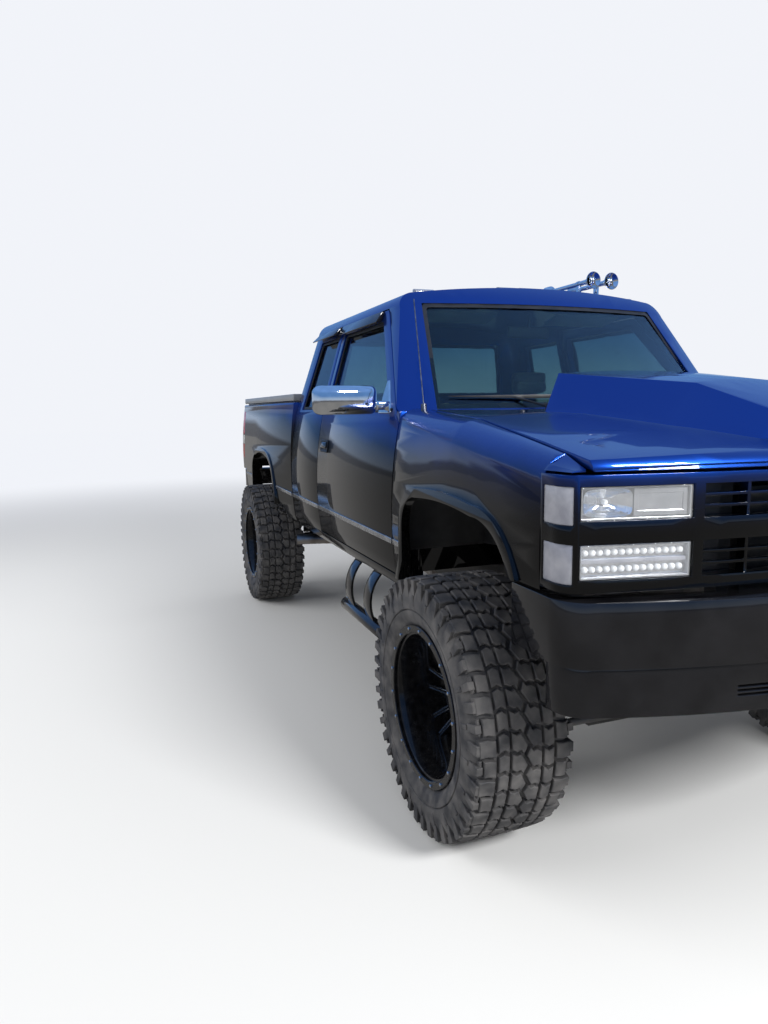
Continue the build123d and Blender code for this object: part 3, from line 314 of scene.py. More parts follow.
# %% Black paint, chrome and metals
gloss_black = noisy("gloss_black", ((0.004, 0.004, 0.005), 0.22, 0.0, 1.0, 0.15), (7,),
                    ((0.003, 0.003, 0.004), (0.0075, 0.0075, 0.009)), (0.16, 0.3), Coat_IOR=1.5)
chrome = noisy("chrome", ((0.78, 0.79, 0.8), 0.04, 1.0), (25,),
               ((0.72, 0.74, 0.76), (0.82, 0.83, 0.84)), (0.03, 0.09))
wheel_black = noisy("wheel_black", ((0.006, 0.006, 0.007), 0.2, 0.2, 0.8, 0.2), (40,),
                    ((0.004, 0.004, 0.005), (0.012, 0.012, 0.013)), (0.14, 0.34))
milled = noisy("milled_aluminium", ((0.6, 0.61, 0.62), 0.22, 1.0), (160,), None, (0.14, 0.32),
               ((160,), 0.0002, 0.25))
frame_black = noisy("frame_black", ((0.02, 0.02, 0.02), 0.5, 0.0, 0.15), (9, 6),
                    ((0.014, 0.014, 0.014), (0.05, 0.045, 0.04)), (0.35, 0.75), ((220,), 0.0004, 0.3))
antenna_steel = noisy("antenna_steel", ((0.16, 0.16, 0.17), 0.3, 0.9), (40,),
                      ((0.10, 0.10, 0.11), (0.22, 0.22, 0.23)))
silver_trim = noisy("silver_trim", ((0.5, 0.51, 0.53), 0.24, 0.9, 0.3), (18,),
                    ((0.42, 0.43, 0.45), (0.58, 0.59, 0.61)), (0.18, 0.34))
cast_metal = noisy("cast_metal", ((0.1, 0.1, 0.1), 0.6, 0.6), (14, 6),
                   ((0.075, 0.073, 0.070), (0.125, 0.12, 0.115)), (0.45, 0.8), ((400,), 0.0006, 0.5))
pipe_steel = noisy("pipe_steel", ((0.35, 0.32, 0.3), 0.42, 1.0), (6, 6),
                   ((0.16, 0.13, 0.11), (0.44, 0.42, 0.4)), (0.3, 0.6))

# %% [markdown]
# ### Glass and lamps
# The windows are tinted a little green, and the real ones show the cabin through strong reflections. Thin
# panes are given an IOR near that of glass, and a transmission that lets the seats show. Clear lamp covers
# have hardly any alpha instead, so only their gloss coat shows. Lamp reflectors are polished metal, and
# bulbs and diodes are frosted white.

# %% Glass, lamp covers and lamp colours
window_glass = noisy("window_glass", ((0.3, 0.42, 0.36), 0.0), (3,), ((0.30, 0.42, 0.40), (0.35, 0.48, 0.45)),
                     Transmission_Weight=1.0, IOR=1.48)
lamp_cover = noisy("lamp_cover", ((0.85, 0.88, 0.9), 0.03, 0.0, 0.6), (8,),
                   ((0.80, 0.83, 0.86), (0.90, 0.92, 0.94)), Alpha=0.08)
smoked = noisy("smoked_acrylic", ((0.012, 0.012, 0.014), 0.1, 0.0, 0.6, 0.3), (9,),
               ((0.008, 0.008, 0.010), (0.018, 0.018, 0.020)))
reflector = noisy("lamp_reflector", ((0.85, 0.86, 0.88), 0.08, 1.0), (30,),
                  ((0.76, 0.78, 0.8), (0.9, 0.91, 0.93)), None, ((70, 3.0, "Wave"), 0.0009, 0.3))
diode = noisy("frosted_diode", ((0.86, 0.88, 0.9), 0.22, 0.0, 0.5), (300,),
              ((0.60, 0.62, 0.64), (0.80, 0.81, 0.82)))
lens_ribs = noisy("ribbed_lens", ((0.32, 0.32, 0.34), 0.16, 0.0, 0.6), (14,),
                  ((0.20, 0.205, 0.24), (0.30, 0.305, 0.335)), None, ((75, 3.0, "Wave", "Z"), 0.0006, 0.2))
lamp_frame = noisy("lamp_frame", ((0.34, 0.345, 0.36), 0.22, 0.6, 0.5), (22,),
                   ((0.28, 0.285, 0.30), (0.38, 0.385, 0.40)))
radiator_core = noisy("radiator_core", ((0.03, 0.03, 0.03), 0.5, 0.6), (90, 3.0, "Wave"),
                      ((0.008, 0.008, 0.008), (0.07, 0.07, 0.068), 0.2, 0.8), None,
                      ((90, 3.0, "Wave"), 0.002, 0.8))
mirror_silver = noisy("mirror_silver", ((0.86, 0.87, 0.88), 0.02, 1.0), (12,),
                      ((0.82, 0.83, 0.84), (0.90, 0.91, 0.92)))
tail_ribs, tree, shader = new_finish("tail_lamp", (0.4, 0.01, 0.01), 0.14, 0.0, 0.9)
tail_height = ranged(tree, split(tree, own_coordinates(tree))["Z"], From_Min=1.13, From_Max=1.56)
red, white = (0.42, 0.006, 0.006), (0.62, 0.62, 0.63)
zones = ramp(tree, tail_height, [
    (0.0, red), (0.30, (0.02, 0.002, 0.002)), (0.315, white), (0.50, (0.05, 0.05, 0.05)), (0.515, red)])
zones.node.color_ramp.interpolation = "CONSTANT"
tree.links.new(zones, shader.inputs["Base Color"])
add_bump(tree, shader, place_noise(tree, 60, kind="Wave"), 0.0012, 0.5)

# %% [markdown]
# ### Rubber, plastic and cloth
# Tyre rubber is dark grey rather than black, with dusty patches, and with a fine surface roughness. Plastic
# trim has a pebbled grain, and the seats are a woven grey cloth: two sets of fine waves that cross.

# %% Rubber, plastics and cloth
tyre_rubber = noisy("tyre_rubber", ((0.035, 0.034, 0.033), 0.72), (16, 8),
                    ((0.036, 0.035, 0.036), (0.110, 0.104, 0.100), 0.36, 0.7), (0.58, 0.9),
                    ((500,), 0.0004, 0.5))
black_plastic = noisy("black_plastic", ((0.015, 0.015, 0.016), 0.48), (12,),
                      ((0.010, 0.010, 0.011), (0.022, 0.022, 0.023)), None,
                      ((700, 3.0, "Voronoi"), 0.0003, 0.35))
trim_grey = noisy("trim_grey", ((0.42, 0.42, 0.4), 0.55), (5,),
                  ((0.36, 0.37, 0.35), (0.46, 0.47, 0.44)), None, ((600, 3.0, "Voronoi"), 0.0003, 0.4))
pale_mat = noisy("pale_mat", ((0.5, 0.52, 0.5), 0.85), (6,), ((0.44, 0.46, 0.44), (0.54, 0.56, 0.54)), None,
                 ((450,), 0.0005, 0.4))
lid_grey = noisy("lid_grey", ((0.2, 0.21, 0.22), 0.42, 0.0, 0.25), (4, 6),
                 ((0.185, 0.192, 0.20), (0.22, 0.228, 0.236)), None, ((350,), 0.0004, 0.35))

seat_cloth, tree, shader = new_finish("seat_cloth", (0.2, 0.205, 0.21), 0.9)
shader.inputs["Sheen Weight"].default_value = 0.35
threads = []
for direction in ("X", "Z"):
    thread = add_node(tree, "TexWave", Scale=130, Distortion=0.6)
    thread.bands_direction = direction
    tree.links.new(own_coordinates(tree), thread.inputs["Vector"])
    threads.append(thread.outputs["Fac"])
weave = calculated(tree, "MULTIPLY", *threads)
tree.links.new(ramp(tree, weave, [(0.0, (0.12, 0.125, 0.13)), (1.0, (0.27, 0.275, 0.28))]),
               shader.inputs["Base Color"])
add_bump(tree, shader, weave, 0.0006, 0.6)
print(len(bpy.data.materials), "finishes made")

# %% [markdown]
# ## Dressing the solids
# A CAD solid arrives as loose triangles with hard facets. Where its shape is right, a copy of it is merged,
# its flat faces are joined, its edges get a small bevel that catches the light, and its curves are shaded
# smooth. The copy stands for the solid, which stays hidden for the simulation.

# %% A helper that dresses one solid
BODY_OF = {node: body for body, names in frame["record"]["behaviour"]["bodies"].items() for node in names}
SLOT_OF = {row["node"]: row["material_slot"] for row in frame["record"]["subparts"]}


def enter(mode):
    bpy.ops.object.mode_set(mode=mode)


def select_all():
    bpy.ops.mesh.select_all(action="SELECT")


def turn_outwards():
    """Turns all faces of the open mesh outwards, and closes it."""
    select_all()
    bpy.ops.mesh.normals_make_consistent(inside=False)
    enter("OBJECT")


def only(piece):
    """Leaves one piece selected and active."""
    bpy.ops.object.select_all(action="DESELECT")
    piece.select_set(True)
    bpy.context.view_layer.objects.active = piece


def pick(piece, test):
    """Opens a piece in edit mode with just the faces selected that pass a test."""
    only(piece)
    enter("EDIT")
    bpy.ops.mesh.select_mode(type="FACE")
    bpy.ops.mesh.select_all(action="DESELECT")
    enter("OBJECT")
    for face in piece.data.polygons:
        face.select = test(face)
    enter("EDIT")


def inset(piece, test, *steps, use_individual=False):
    """Insets the faces that pass a test. Each step is a width and a depth."""
    pick(piece, test)
    for width, depth in steps:
        bpy.ops.mesh.inset(thickness=width, depth=depth, use_individual=use_individual)
    enter("OBJECT")


def drop(piece, test, kind="FACE"):
    """Deletes the faces that pass a test."""
    pick(piece, test)
    bpy.ops.mesh.delete(type=kind)
    enter("OBJECT")


def put(piece, place=(0, 0, 0), turn=0.0, axis="X"):
    """Turns a piece's mesh about an axis, then moves it to its place."""
    piece.data.transform(Matrix.Translation(place) @ Matrix.Rotation(turn, 4, axis))
    return piece


def give(piece, *materials):
    for material in materials:
        piece.data.materials.append(material)


def second_finish(piece, test):
    """Gives a piece's second finish to the faces that pass a test."""
    for face in piece.data.polygons:
        if test(face):
            face.material_index = 1


def apply_modifiers(piece):
    only(piece)
    for modifier in list(piece.modifiers):
        bpy.ops.object.modifier_apply(modifier=modifier.name)


def smooth(piece, angle=32):
    only(piece)
    bpy.ops.object.shade_smooth_by_angle(angle=radians(angle))


def settle(piece, material, body, slot=None, angle=None):
    """Applies a finished piece's place, gives it its finish and lets it ride on its body."""
    if angle:
        smooth(piece, angle)
    only(piece)
    bpy.ops.object.transform_apply(location=True, rotation=True, scale=True)
    if not piece.data.materials:
        give(piece, material)
    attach(piece, body)
    return piece


def merged_copy(node, name):
    """A copy of a solid's mesh with its triangles joined up again."""
    original = nodes[node]
    piece = bpy.data.objects.new(name, original.data.copy())
    bpy.context.scene.collection.objects.link(piece)
    piece.data.materials.clear()
    only(piece)
    if piece.data.has_custom_normals:
        bpy.ops.mesh.customdata_custom_splitnormals_clear()
    enter("EDIT")
    select_all()
    bpy.ops.mesh.remove_doubles(threshold=0.00002)
    bpy.ops.mesh.dissolve_limited(angle_limit=radians(0.6))
    enter("OBJECT")
    return piece


def dress(node, material, bevel=0.003, segments=2, angle=32):
    piece = merged_copy(node, node + "_skin")
    if bevel:
        edge = piece.modifiers.new("edge", "BEVEL")
        edge.width = bevel
        edge.segments = segments
        edge.limit_method = "ANGLE"
        edge.angle_limit = radians(angle)
        edge.use_clamp_overlap = True
        edge.harden_normals = False
        apply_modifiers(piece)
    smooth(piece, angle)
    settle(piece, material, BODY_OF[node], SLOT_OF[node])
    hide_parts(node)
    return piece


# %% [markdown]
# The painted panels, bumpers and lids go first. Thick parts take a wider bevel than sheet metal does.

# %% Dress the body, frame and cabin
DRESS = (
    # node, finish, bevel width in metres
    ("cab_shell", body_paint, 0.004), ("door_left", body_paint, 0.004), ("door_right", body_paint, 0.004),
    ("fender_left", body_paint, 0.005), ("fender_right", body_paint, 0.005), ("hood", body_paint, 0.004),
    ("bed", body_paint, 0.004), ("tailgate", body_paint, 0.004), ("grille_shell", body_paint, 0.003),
    ("front_bumper", gloss_black, 0.005), ("rear_bumper", gloss_black, 0.005), ("bed_lid", lid_grey, 0.006),
    ("dashboard", trim_grey, 0.006),
    ("tail_lamps", tail_ribs, 0.003), ("radiator_support", black_plastic, 0.002),
    ("front_liners", black_plastic, 0.002), ("frame_rail_left", frame_black, 0.003),
    ("frame_rail_right", frame_black, 0.003), ("crossmembers", frame_black, 0.003),
    ("front_suspension", frame_black, 0.002), ("rear_suspension", cast_metal, 0.002),
    ("knuckle_left", cast_metal, 0.002), ("knuckle_right", cast_metal, 0.002), ("tie_rod", cast_metal, 0.002),
    ("driveline", cast_metal, 0.002), ("engine_block", cast_metal, 0.004), ("exhaust", pipe_steel, 0.0),
    ("fuel_tank", black_plastic, 0.0), ("side_steps", gloss_black, 0.003),
    ("roof_lamps", lens_ribs, 0.004), ("quarter_visors", smoked, 0.001),
    ("antenna", antenna_steel, 0.0), ("wipers", black_plastic, 0.001),
    ("cab_glass", window_glass, 0.0),
    ("door_glass_left", window_glass, 0.0), ("door_glass_right", window_glass, 0.0),
)
skins = {node: dress(node, material, bevel) for node, material, bevel in DRESS}
print("dressed", len(skins), "nodes; not dressed:", sorted(set(nodes) - set(skins)))

# %% [markdown]
# ## Turning a shape
# Wheels, tyres, horns and lamp bowls are round, so they are made as a turner would: from a ring that is
# drawn out step by step. The helper starts from a circle about the X axis, then extrudes its edge, moves it
# along X and scales it about the axis for every step of a short table of places and radii.

# %% A helper that turns a table of rings into a skin


def turned(name, rings, segments, close_start=False, close_end=False):
    """Draws out a ring about the X axis. Each entry of rings is an X place and a radius, in metres."""
    x, radius = rings[0]
    bpy.ops.object.select_all(action="DESELECT")
    bpy.ops.mesh.primitive_circle_add(
        vertices=segments, radius=radius, location=(x, 0, 0), rotation=(0, pi / 2, 0),
        fill_type="NGON" if close_start else "NOTHING")
    piece = bpy.context.object
    piece.name = name
    bpy.ops.object.transform_apply(location=True, rotation=True, scale=True)
    enter("EDIT")
    bpy.ops.mesh.select_mode(type="VERT")
    select_all()
    for next_x, next_radius in rings[1:]:
        if close_start and (x, radius) == rings[0]:
            bpy.ops.mesh.duplicate()
            bpy.ops.mesh.delete(type="ONLY_FACE")
            bpy.ops.mesh.select_all(action="DESELECT")
            enter("OBJECT")
            for vertex in piece.data.vertices[segments:]:
                vertex.select = True
            enter("EDIT")
        bpy.ops.mesh.extrude_region_move()
        scale = next_radius / radius
        bpy.ops.transform.resize(value=(1, scale, scale), center_override=(x, 0, 0))
        bpy.ops.transform.translate(value=(next_x - x, 0, 0))
        x, radius = next_x, next_radius
    if close_end:
        bpy.ops.mesh.edge_face_add()
    select_all()
    bpy.ops.mesh.remove_doubles(threshold=0.00002)
    bpy.ops.mesh.normals_make_consistent(inside=False)
    enter("OBJECT")
    return piece


def join(pieces, name):
    """Joins pieces into the first one and names the result."""
    bpy.ops.object.select_all(action="DESELECT")
    for piece in pieces:
        piece.select_set(True)
    bpy.context.view_layer.objects.active = pieces[0]
    bpy.ops.object.join()
    joined = bpy.context.object
    joined.name = name
    return joined


def copy_of(piece, matrix):
    """A copy of a piece with its own mesh, moved by a matrix that is applied to the mesh."""
    made = piece.copy()
    made.data = piece.data.copy()
    bpy.context.scene.collection.objects.link(made)
    made.data.transform(matrix)
    return made


def bevelled(piece, width, segments=2, angle=30):
    edge = piece.modifiers.new("edge", "BEVEL")
    edge.width = width
    edge.segments = segments
    edge.limit_method = "ANGLE"
    edge.angle_limit = radians(angle)
    apply_modifiers(piece)
    return piece


def cube(name, centre, size, turn=(0, 0, 0)):
    """A cube primitive at its size and place, ready to be shaped."""
    bpy.ops.object.select_all(action="DESELECT")
    bpy.ops.mesh.primitive_cube_add(size=1, location=centre, rotation=turn)
    piece = bpy.context.object
    piece.name = name
    piece.scale = size
    bpy.ops.object.transform_apply(location=True, rotation=True, scale=True)
    return piece


def cut(piece, point, normal):
    """Cuts away what lies on the normal's side of a plane and closes the cut."""
    only(piece)
    enter("EDIT")
    select_all()
    bpy.ops.mesh.bisect(plane_co=point, plane_no=normal, use_fill=True, clear_outer=True)
    enter("OBJECT")
    return piece


# %% [markdown]
# ## Tyres
# The mud tyres are the truck's strongest feature: wide, with big blocks that lie close together, narrow
# grooves that zigzag between them, stepped shoulders, and ribs that run down the sidewall. The carcass is
# turned. The blocks are drawn flat, like a strip of tread before it is wrapped, and then bent round it.

# %% The tyre's carcass
TYRE_RADIUS = 0.480
TREAD_BASE = 0.4625
LUG_DEPTH = 0.0163
half_section = [
    (0.126, 0.2795), (0.142, 0.2795), (0.1555, 0.2985), (0.166, 0.312), (0.1735, 0.338), (0.1760, 0.352),
    (0.1700, 0.3555), (0.1765, 0.360), (0.1775, 0.385), (0.1740, 0.412), (0.1665, 0.436),
    (0.158, 0.452), (0.146, TREAD_BASE - 0.003), (0.10, TREAD_BASE)]
section = half_section + [(-x, radius) for x, radius in reversed(half_section)]
carcass = turned("tyre_carcass", section, 88)
smooth(carcass, 40)
print("carcass faces", len(carcass.data.polygons))

# %% [markdown]
# A block starts as a small circle with as many corners as the block has. The corners are moved to the
# block's outline, the face is extruded outwards, drawn in a little, and its top edge is bevelled. Bending
# turns each point's distance along the strip into an angle, and its height into a radius.

# %% A helper that makes one block from its outline


def drawn_outline(name, corners, height=0.0):
    """A face in the XY plane whose corners are those given, as wound."""
    bpy.ops.object.select_all(action="DESELECT")
    bpy.ops.mesh.primitive_circle_add(vertices=len(corners), radius=0.01, fill_type="NGON")
    piece = bpy.context.object
    piece.name = name
    for vertex, (x, y) in zip(piece.data.vertices, corners):
        vertex.co = (x, y, height)
    return piece


def tread_block(name, corners, height=LUG_DEPTH, root=0.006):
    piece = drawn_outline(name, corners, -root)
    middle_x = sum(x for x, y in corners) / len(corners)
    middle_y = sum(y for x, y in corners) / len(corners)
    enter("EDIT")
    select_all()
    bpy.ops.mesh.extrude_region_move(TRANSFORM_OT_translate={"value": (0, 0, height + root)})
    bpy.ops.transform.resize(value=(0.95, 0.93, 1), center_override=(middle_x, middle_y, height))
    bpy.ops.mesh.bevel(offset=0.0024, segments=1, affect="EDGES")
    turn_outwards()
    return piece


def wrapped(piece):
    """Bends a flat strip of tread round the tyre, lower towards its shoulders."""
    for vertex in piece.data.vertices:
        x, y, z = vertex.co
        radius = TREAD_BASE + z - 0.005 * (abs(x) / 0.16) ** 3
        vertex.co = (x, radius * sin(y / TREAD_BASE), radius * cos(y / TREAD_BASE))
    return piece


# %% [markdown]
# The strip repeats after 22 pitches of two steps each. In every step there is a middle block with a zigzag
# front and back, a hook block behind it, and a shoulder block. Shoulder blocks are long and short in turn,
# and a lower ledge fills the short ones' place. The other half of the tread is the same strip turned round
# and set on by half a step, so that its points fall into this half's grooves.

# %% The blocks of one pitch
PITCHES = 22
STEP = pi * TREAD_BASE / PITCHES
GROOVE = 0.0105


def between(columns):
    """The outline between two grooves a step apart, from (x, y of the groove's middle) columns."""
    low = [(x, y + GROOVE / 2) for x, y in columns]
    high = [(x, y + STEP - GROOVE / 2) for x, y in reversed(columns)]
    return low + high


middle = between([(0.0125, 0.0), (0.022, -0.015), (0.037, -0.011), (0.0545, -0.021)])
middle.append((-0.002, STEP / 2))
hook = between([(0.0625, -0.012), (0.080, -0.024), (0.1005, -0.016)])
long_shoulder = between([(0.1085, -0.004), (0.136, -0.010), (0.1665, -0.008)])
short_shoulder = between([(0.1085, -0.004), (0.134, -0.010), (0.151, -0.009)])
ledge = between([(0.154, -0.009), (0.1645, -0.008)])
pitch_parts = []
for i, edge in enumerate((long_shoulder, short_shoulder)):
    for name, corners, height in (("middle_block", middle, LUG_DEPTH), ("hook_block", hook, LUG_DEPTH),
                                  ("shoulder_block", edge, LUG_DEPTH), ("ledge_block", ledge, 0.006)):
        if name != "ledge_block" or i:
            shifted = [(x, y + i * STEP) for x, y in corners]
            pitch_parts.append(wrapped(tread_block(name, shifted, height)))
for i, (low, width) in enumerate(((0.402, 0.034), (0.414, 0.026))):
    biter = cube("side_biter", (0.165, 0, (low + 0.470) / 2), (0.022, width, 0.470 - low))
    cut(biter, (0.176, 0, 0.40), (1, 0, -0.18))
    cut(biter, (0.17, 0, low + 0.002), (-0.6, 0, -1))
    bevelled(biter, 0.003, 1)
    put(biter, (0, 0, 0), -(i + 0.42) * STEP / TREAD_BASE, "X")
    pitch_parts.append(biter)
rib = cube("side_rib", (0.1745, 0, 0.392), (0.0095, 0.016, 0.040))
cut(rib, (0.1808, 0, 0.40), (1, 0, 0.10))
bevelled(rib, 0.002, 1)
put(rib, (0, 0, 0), -1.42 * STEP / TREAD_BASE, "X")
pitch = join([*pitch_parts, rib], "tyre_pitch")
print("faces in one pitch", len(pitch.data.polygons))

# %% Copy the pitch round both halves
half_turn = Matrix.Rotation(pi, 4, "Z")
tread = []
for i in range(PITCHES):
    angle = 2 * pi * i / PITCHES
    tread.append(copy_of(pitch, Matrix.Rotation(angle, 4, "X")))
    tread.append(copy_of(pitch, Matrix.Rotation(angle + pi / PITCHES / 2, 4, "X") @ half_turn))
bpy.data.objects.remove(pitch)
tyre_pattern = join([carcass, *tread], "tyre_pattern")
smooth(tyre_pattern, 30)
print("tyre triangles", sum(len(face.vertices) - 2 for face in tyre_pattern.data.polygons))

# %% [markdown]
# ## Wheels
# The wheels are wide and deep: a gloss black barrel, a flat lip with a ring of bright bolts, and eight
# spokes, far inside, that are each split down the middle. The mill has cut bright windows along the spokes'
# edges. The rim is turned, and one spoke is cut from cubes and copied round.

# %% The rim, its bolts and the hub
RIM = ((-0.165, 0.285), (-0.165, 0.297), (-0.157, 0.297), (-0.151, 0.292), (-0.139, 0.279), (-0.115, 0.279),
       (-0.095, 0.266), (0.095, 0.266), (0.115, 0.279), (0.139, 0.279), (0.151, 0.292), (0.157, 0.297),
       (0.163, 0.297), (0.165, 0.2955), (0.165, 0.272), (0.162, 0.269), (0.150, 0.268), (0.147, 0.262),
       (0.105, 0.250), (-0.105, 0.250), (-0.150, 0.266), (-0.165, 0.285))
rim = turned("wheel_rim", RIM, 96)
smooth(rim, 35)
give(rim, wheel_black)
WHEEL_X, HUB_FACE_X = 0.925, 0.868
FACE_X = HUB_FACE_X - WHEEL_X
hub = turned("wheel_hub", ((FACE_X, 0.106), (FACE_X + 0.030, 0.106), (FACE_X + 0.036, 0.100),
                           (FACE_X + 0.036, 0.062), (FACE_X + 0.085, 0.056), (FACE_X + 0.092, 0.050)),
             64, close_end=True)
smooth(hub, 35)
give(hub, wheel_black)

bolt = turned("lip_bolt", ((0.160, 0.0062), (0.1685, 0.0062), (0.1705, 0.0045)), 12, close_end=True)
give(bolt, milled)
LIP_BOLTS, LIP_CIRCLE = 18, 0.2835
NUTS, NUT_CIRCLE = 8, 0.0826
bolts = [copy_of(bolt, Matrix.Rotation(2 * pi * i / LIP_BOLTS, 4, "X")
                 @ Matrix.Translation((0, 0, LIP_CIRCLE))) for i in range(LIP_BOLTS)]
bpy.data.objects.remove(bolt)
nut = turned("wheel_nut", ((FACE_X + 0.030, 0.0125), (FACE_X + 0.062, 0.0125), (FACE_X + 0.070, 0.008)),
             6, close_end=True)
give(nut, chrome)
nuts = [copy_of(nut, Matrix.Rotation(2 * pi * (i + 0.5) / NUTS, 4, "X")
                @ Matrix.Translation((0, 0, NUT_CIRCLE))) for i in range(NUTS)]
bpy.data.objects.remove(nut)

# %% [markdown]
# A spoke is two slim legs side by side that lean outwards a little towards the rim. Each leg is a cube,
# stretched from the hub to the barrel, with its front face inset and pushed in: that shallow window, and
# the leg's bevel, carry the bright milled finish.

# %% The split spokes
spoke_parts = []
for side in (-1, 1):
    leg = cube("spoke_leg", (FACE_X + 0.030, side * 0.020, 0.175), (0.030, 0.018, 0.170))
    for vertex in leg.data.vertices:
        if vertex.co.z > 0.2:
            vertex.co.x += 0.034
            vertex.co.y += side * 0.020
    give(leg, wheel_black, milled)
    inset(leg, lambda face: face.normal.x > 0.5, (0.0045, 0), (0.0012, -0.004))
    second_finish(leg, lambda face: face.normal.x > 0.5 and not face.select or abs(face.normal.y) > 0.9)
    bevelled(leg, 0.0025, 2, 50)
    spoke_parts.append(leg)
spoke = join(spoke_parts, "spoke")
SPOKES = 8
spokes = [copy_of(spoke, Matrix.Rotation(2 * pi * i / SPOKES, 4, "X")) for i in range(SPOKES)]
bpy.data.objects.remove(spoke)
wheel_pattern = join([rim, hub, *bolts, *nuts, *spokes], "wheel_pattern")
smooth(wheel_pattern, 35)
PATTERNS = (("wheel", wheel_pattern, wheel_black), ("tyre", tyre_pattern, tyre_rubber))


def at_corner(sign, axle_y, x):
    """Places what is drawn for a left wheel, x out from the middle, at one of the four corners."""
    turn = 0 if sign > 0 else pi
    return Matrix.Translation((sign * x, axle_y, TYRE_RADIUS)) @ Matrix.Rotation(turn, 4, "Z")


for end, axle_y in AXLES:
    for side, sign in SIDES:
        for kind, pattern, finish in PATTERNS:
            node = f"{kind}_{end}_{side}"
            piece = copy_of(pattern, at_corner(sign, axle_y, WHEEL_X))
            piece.name = node + "_dressed"
            settle(piece, finish, BODY_OF[node], SLOT_OF[node])
            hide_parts(node)
bpy.data.objects.remove(wheel_pattern)
bpy.data.objects.remove(tyre_pattern)

# %% [markdown]
# ## Front lamps
# Each side has a headlamp over a bar of diodes, with a pale corner lamp beside each. The headlamp is a
# bright tray with a large mirrored cup, and a small rectangular cup set in a stepped frame; the bar has two
# rows of round lenses in a pale frame. All of them follow the nose, which bows back towards its corners, so
# every lamp is built facing forward and then turned and placed as one.

# %% Helpers for the bowed nose
NOSE_Y, NOSE_BOW, NOSE_HALF = FRONT_AXLE_Y - 0.835, 0.118, 0.93


def nose_y(x, back=0.0):
    """The shell's front face, seen from above."""
    return NOSE_Y + NOSE_BOW * (x / NOSE_HALF) ** 2 + back


def on_nose(x, z, back=0.0):
    """Places a lamp built at the origin, facing -Y, on the bowed nose."""
    lean = 2 * NOSE_BOW * x / NOSE_HALF ** 2
    return Matrix.Translation((x, nose_y(x, back), z)) @ Matrix.Rotation(lean, 4, "Z")


def tray(name, width, height, depth, wall, finish):
    """An open box facing -Y: a cube whose front face is inset and pushed back."""
    piece = cube(name, (0, depth / 2, 0), (width, depth, height))
    pick(piece, lambda face: face.normal.y < -0.5)
    bpy.ops.mesh.inset(thickness=wall, depth=0)
    bpy.ops.mesh.extrude_region_move(TRANSFORM_OT_translate={"value": (0, depth - 2 * wall, 0)})
    enter("OBJECT")
    bevelled(piece, 0.0012, 2)
    give(piece, finish)
    return piece


def cup(name, width, height, depth, finish, centre):
    """A mirrored lamp cup facing -Y: a rounded outline drawn back and in, ring by ring, in flat facets."""
    corners = []
    for i in range(28):
        turn = 2 * pi * (i + 0.5) / 28
        x, z = cos(turn), sin(turn)
        corners.append((width / 2 * abs(x) ** 0.45 * (1 if x > 0 else -1),
                        height / 2 * abs(z) ** 0.45 * (1 if z > 0 else -1)))
    piece = drawn_outline(name, corners)
    enter("EDIT")
    select_all()
    for reach, scale in ((0.22, 0.90), (0.26, 0.82), (0.22, 0.72), (0.16, 0.60), (0.10, 0.44)):
        bpy.ops.mesh.extrude_region_move(TRANSFORM_OT_translate={"value": (0, 0, -reach * depth)})
        bpy.ops.transform.resize(value=(scale, scale, 1), center_override=(0, 0, 0))
    enter("OBJECT")
    drop(piece, lambda face: face.center.z > -0.0001, "ONLY_FACE")
    put(piece, centre, pi / 2, "X")
    give(piece, finish)
    return piece


def lens_cover(name, width, height, x, z, back):
    """A thin clear sheet over a lamp, with rounded edges."""
    cover = cube(name, (0, 0, 0), (width, 0.003, height))
    bevelled(cover, 0.0012, 2)
    cover.data.transform(on_nose(x, z, back))
    return settle(cover, lamp_cover, "chassis", "lamp_clear")


# %% The headlamps
HEAD_X, HEAD_Z, HEAD_W, HEAD_H = 0.7625, 1.306, 0.320, 0.091
for side, sign in SIDES:
    case = tray("headlamp_tray", HEAD_W, HEAD_H, 0.046, 0.005, lamp_frame)
    big = cup("headlamp_cup", 0.142, 0.078, 0.034, reflector, (sign * 0.080, 0.006, 0))
    frame_step = tray("headlamp_step", 0.158, 0.076, 0.030, 0.014, lamp_frame)
    put(frame_step, (-sign * 0.074, 0.008, 0))
    small = cup("headlamp_cup", 0.126, 0.046, 0.026, reflector, (-sign * 0.074, 0.012, 0))
    parts = [case, big, frame_step, small]
    for x, y in ((sign * 0.080, 0.040), (-sign * 0.074, 0.038)):
        bulb = turned("headlamp_bulb", ((0.0, 0.0085), (0.016, 0.0082), (0.022, 0.005)), 20, close_end=True)
        put(bulb, (x, y, 0), -pi / 2, "Z")
        give(bulb, diode)
        parts.append(bulb)
    lamp_piece = join(parts, f"headlamp_{side}")
    lamp_piece.data.transform(on_nose(sign * HEAD_X, HEAD_Z, 0.010))
    settle(lamp_piece, lamp_frame, "chassis", "lamp_clear")
    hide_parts("front_lamps")
    lens_cover(f"headlamp_cover_{side}", HEAD_W, HEAD_H, sign * HEAD_X, HEAD_Z, 0.0065)
print("headlamps made")

# %% [markdown]
# The diode bar holds two rows of fourteen small lenses, with a ribbed strip between them. The lens is a
# dome of a few rings, made once and copied, because it repeats.

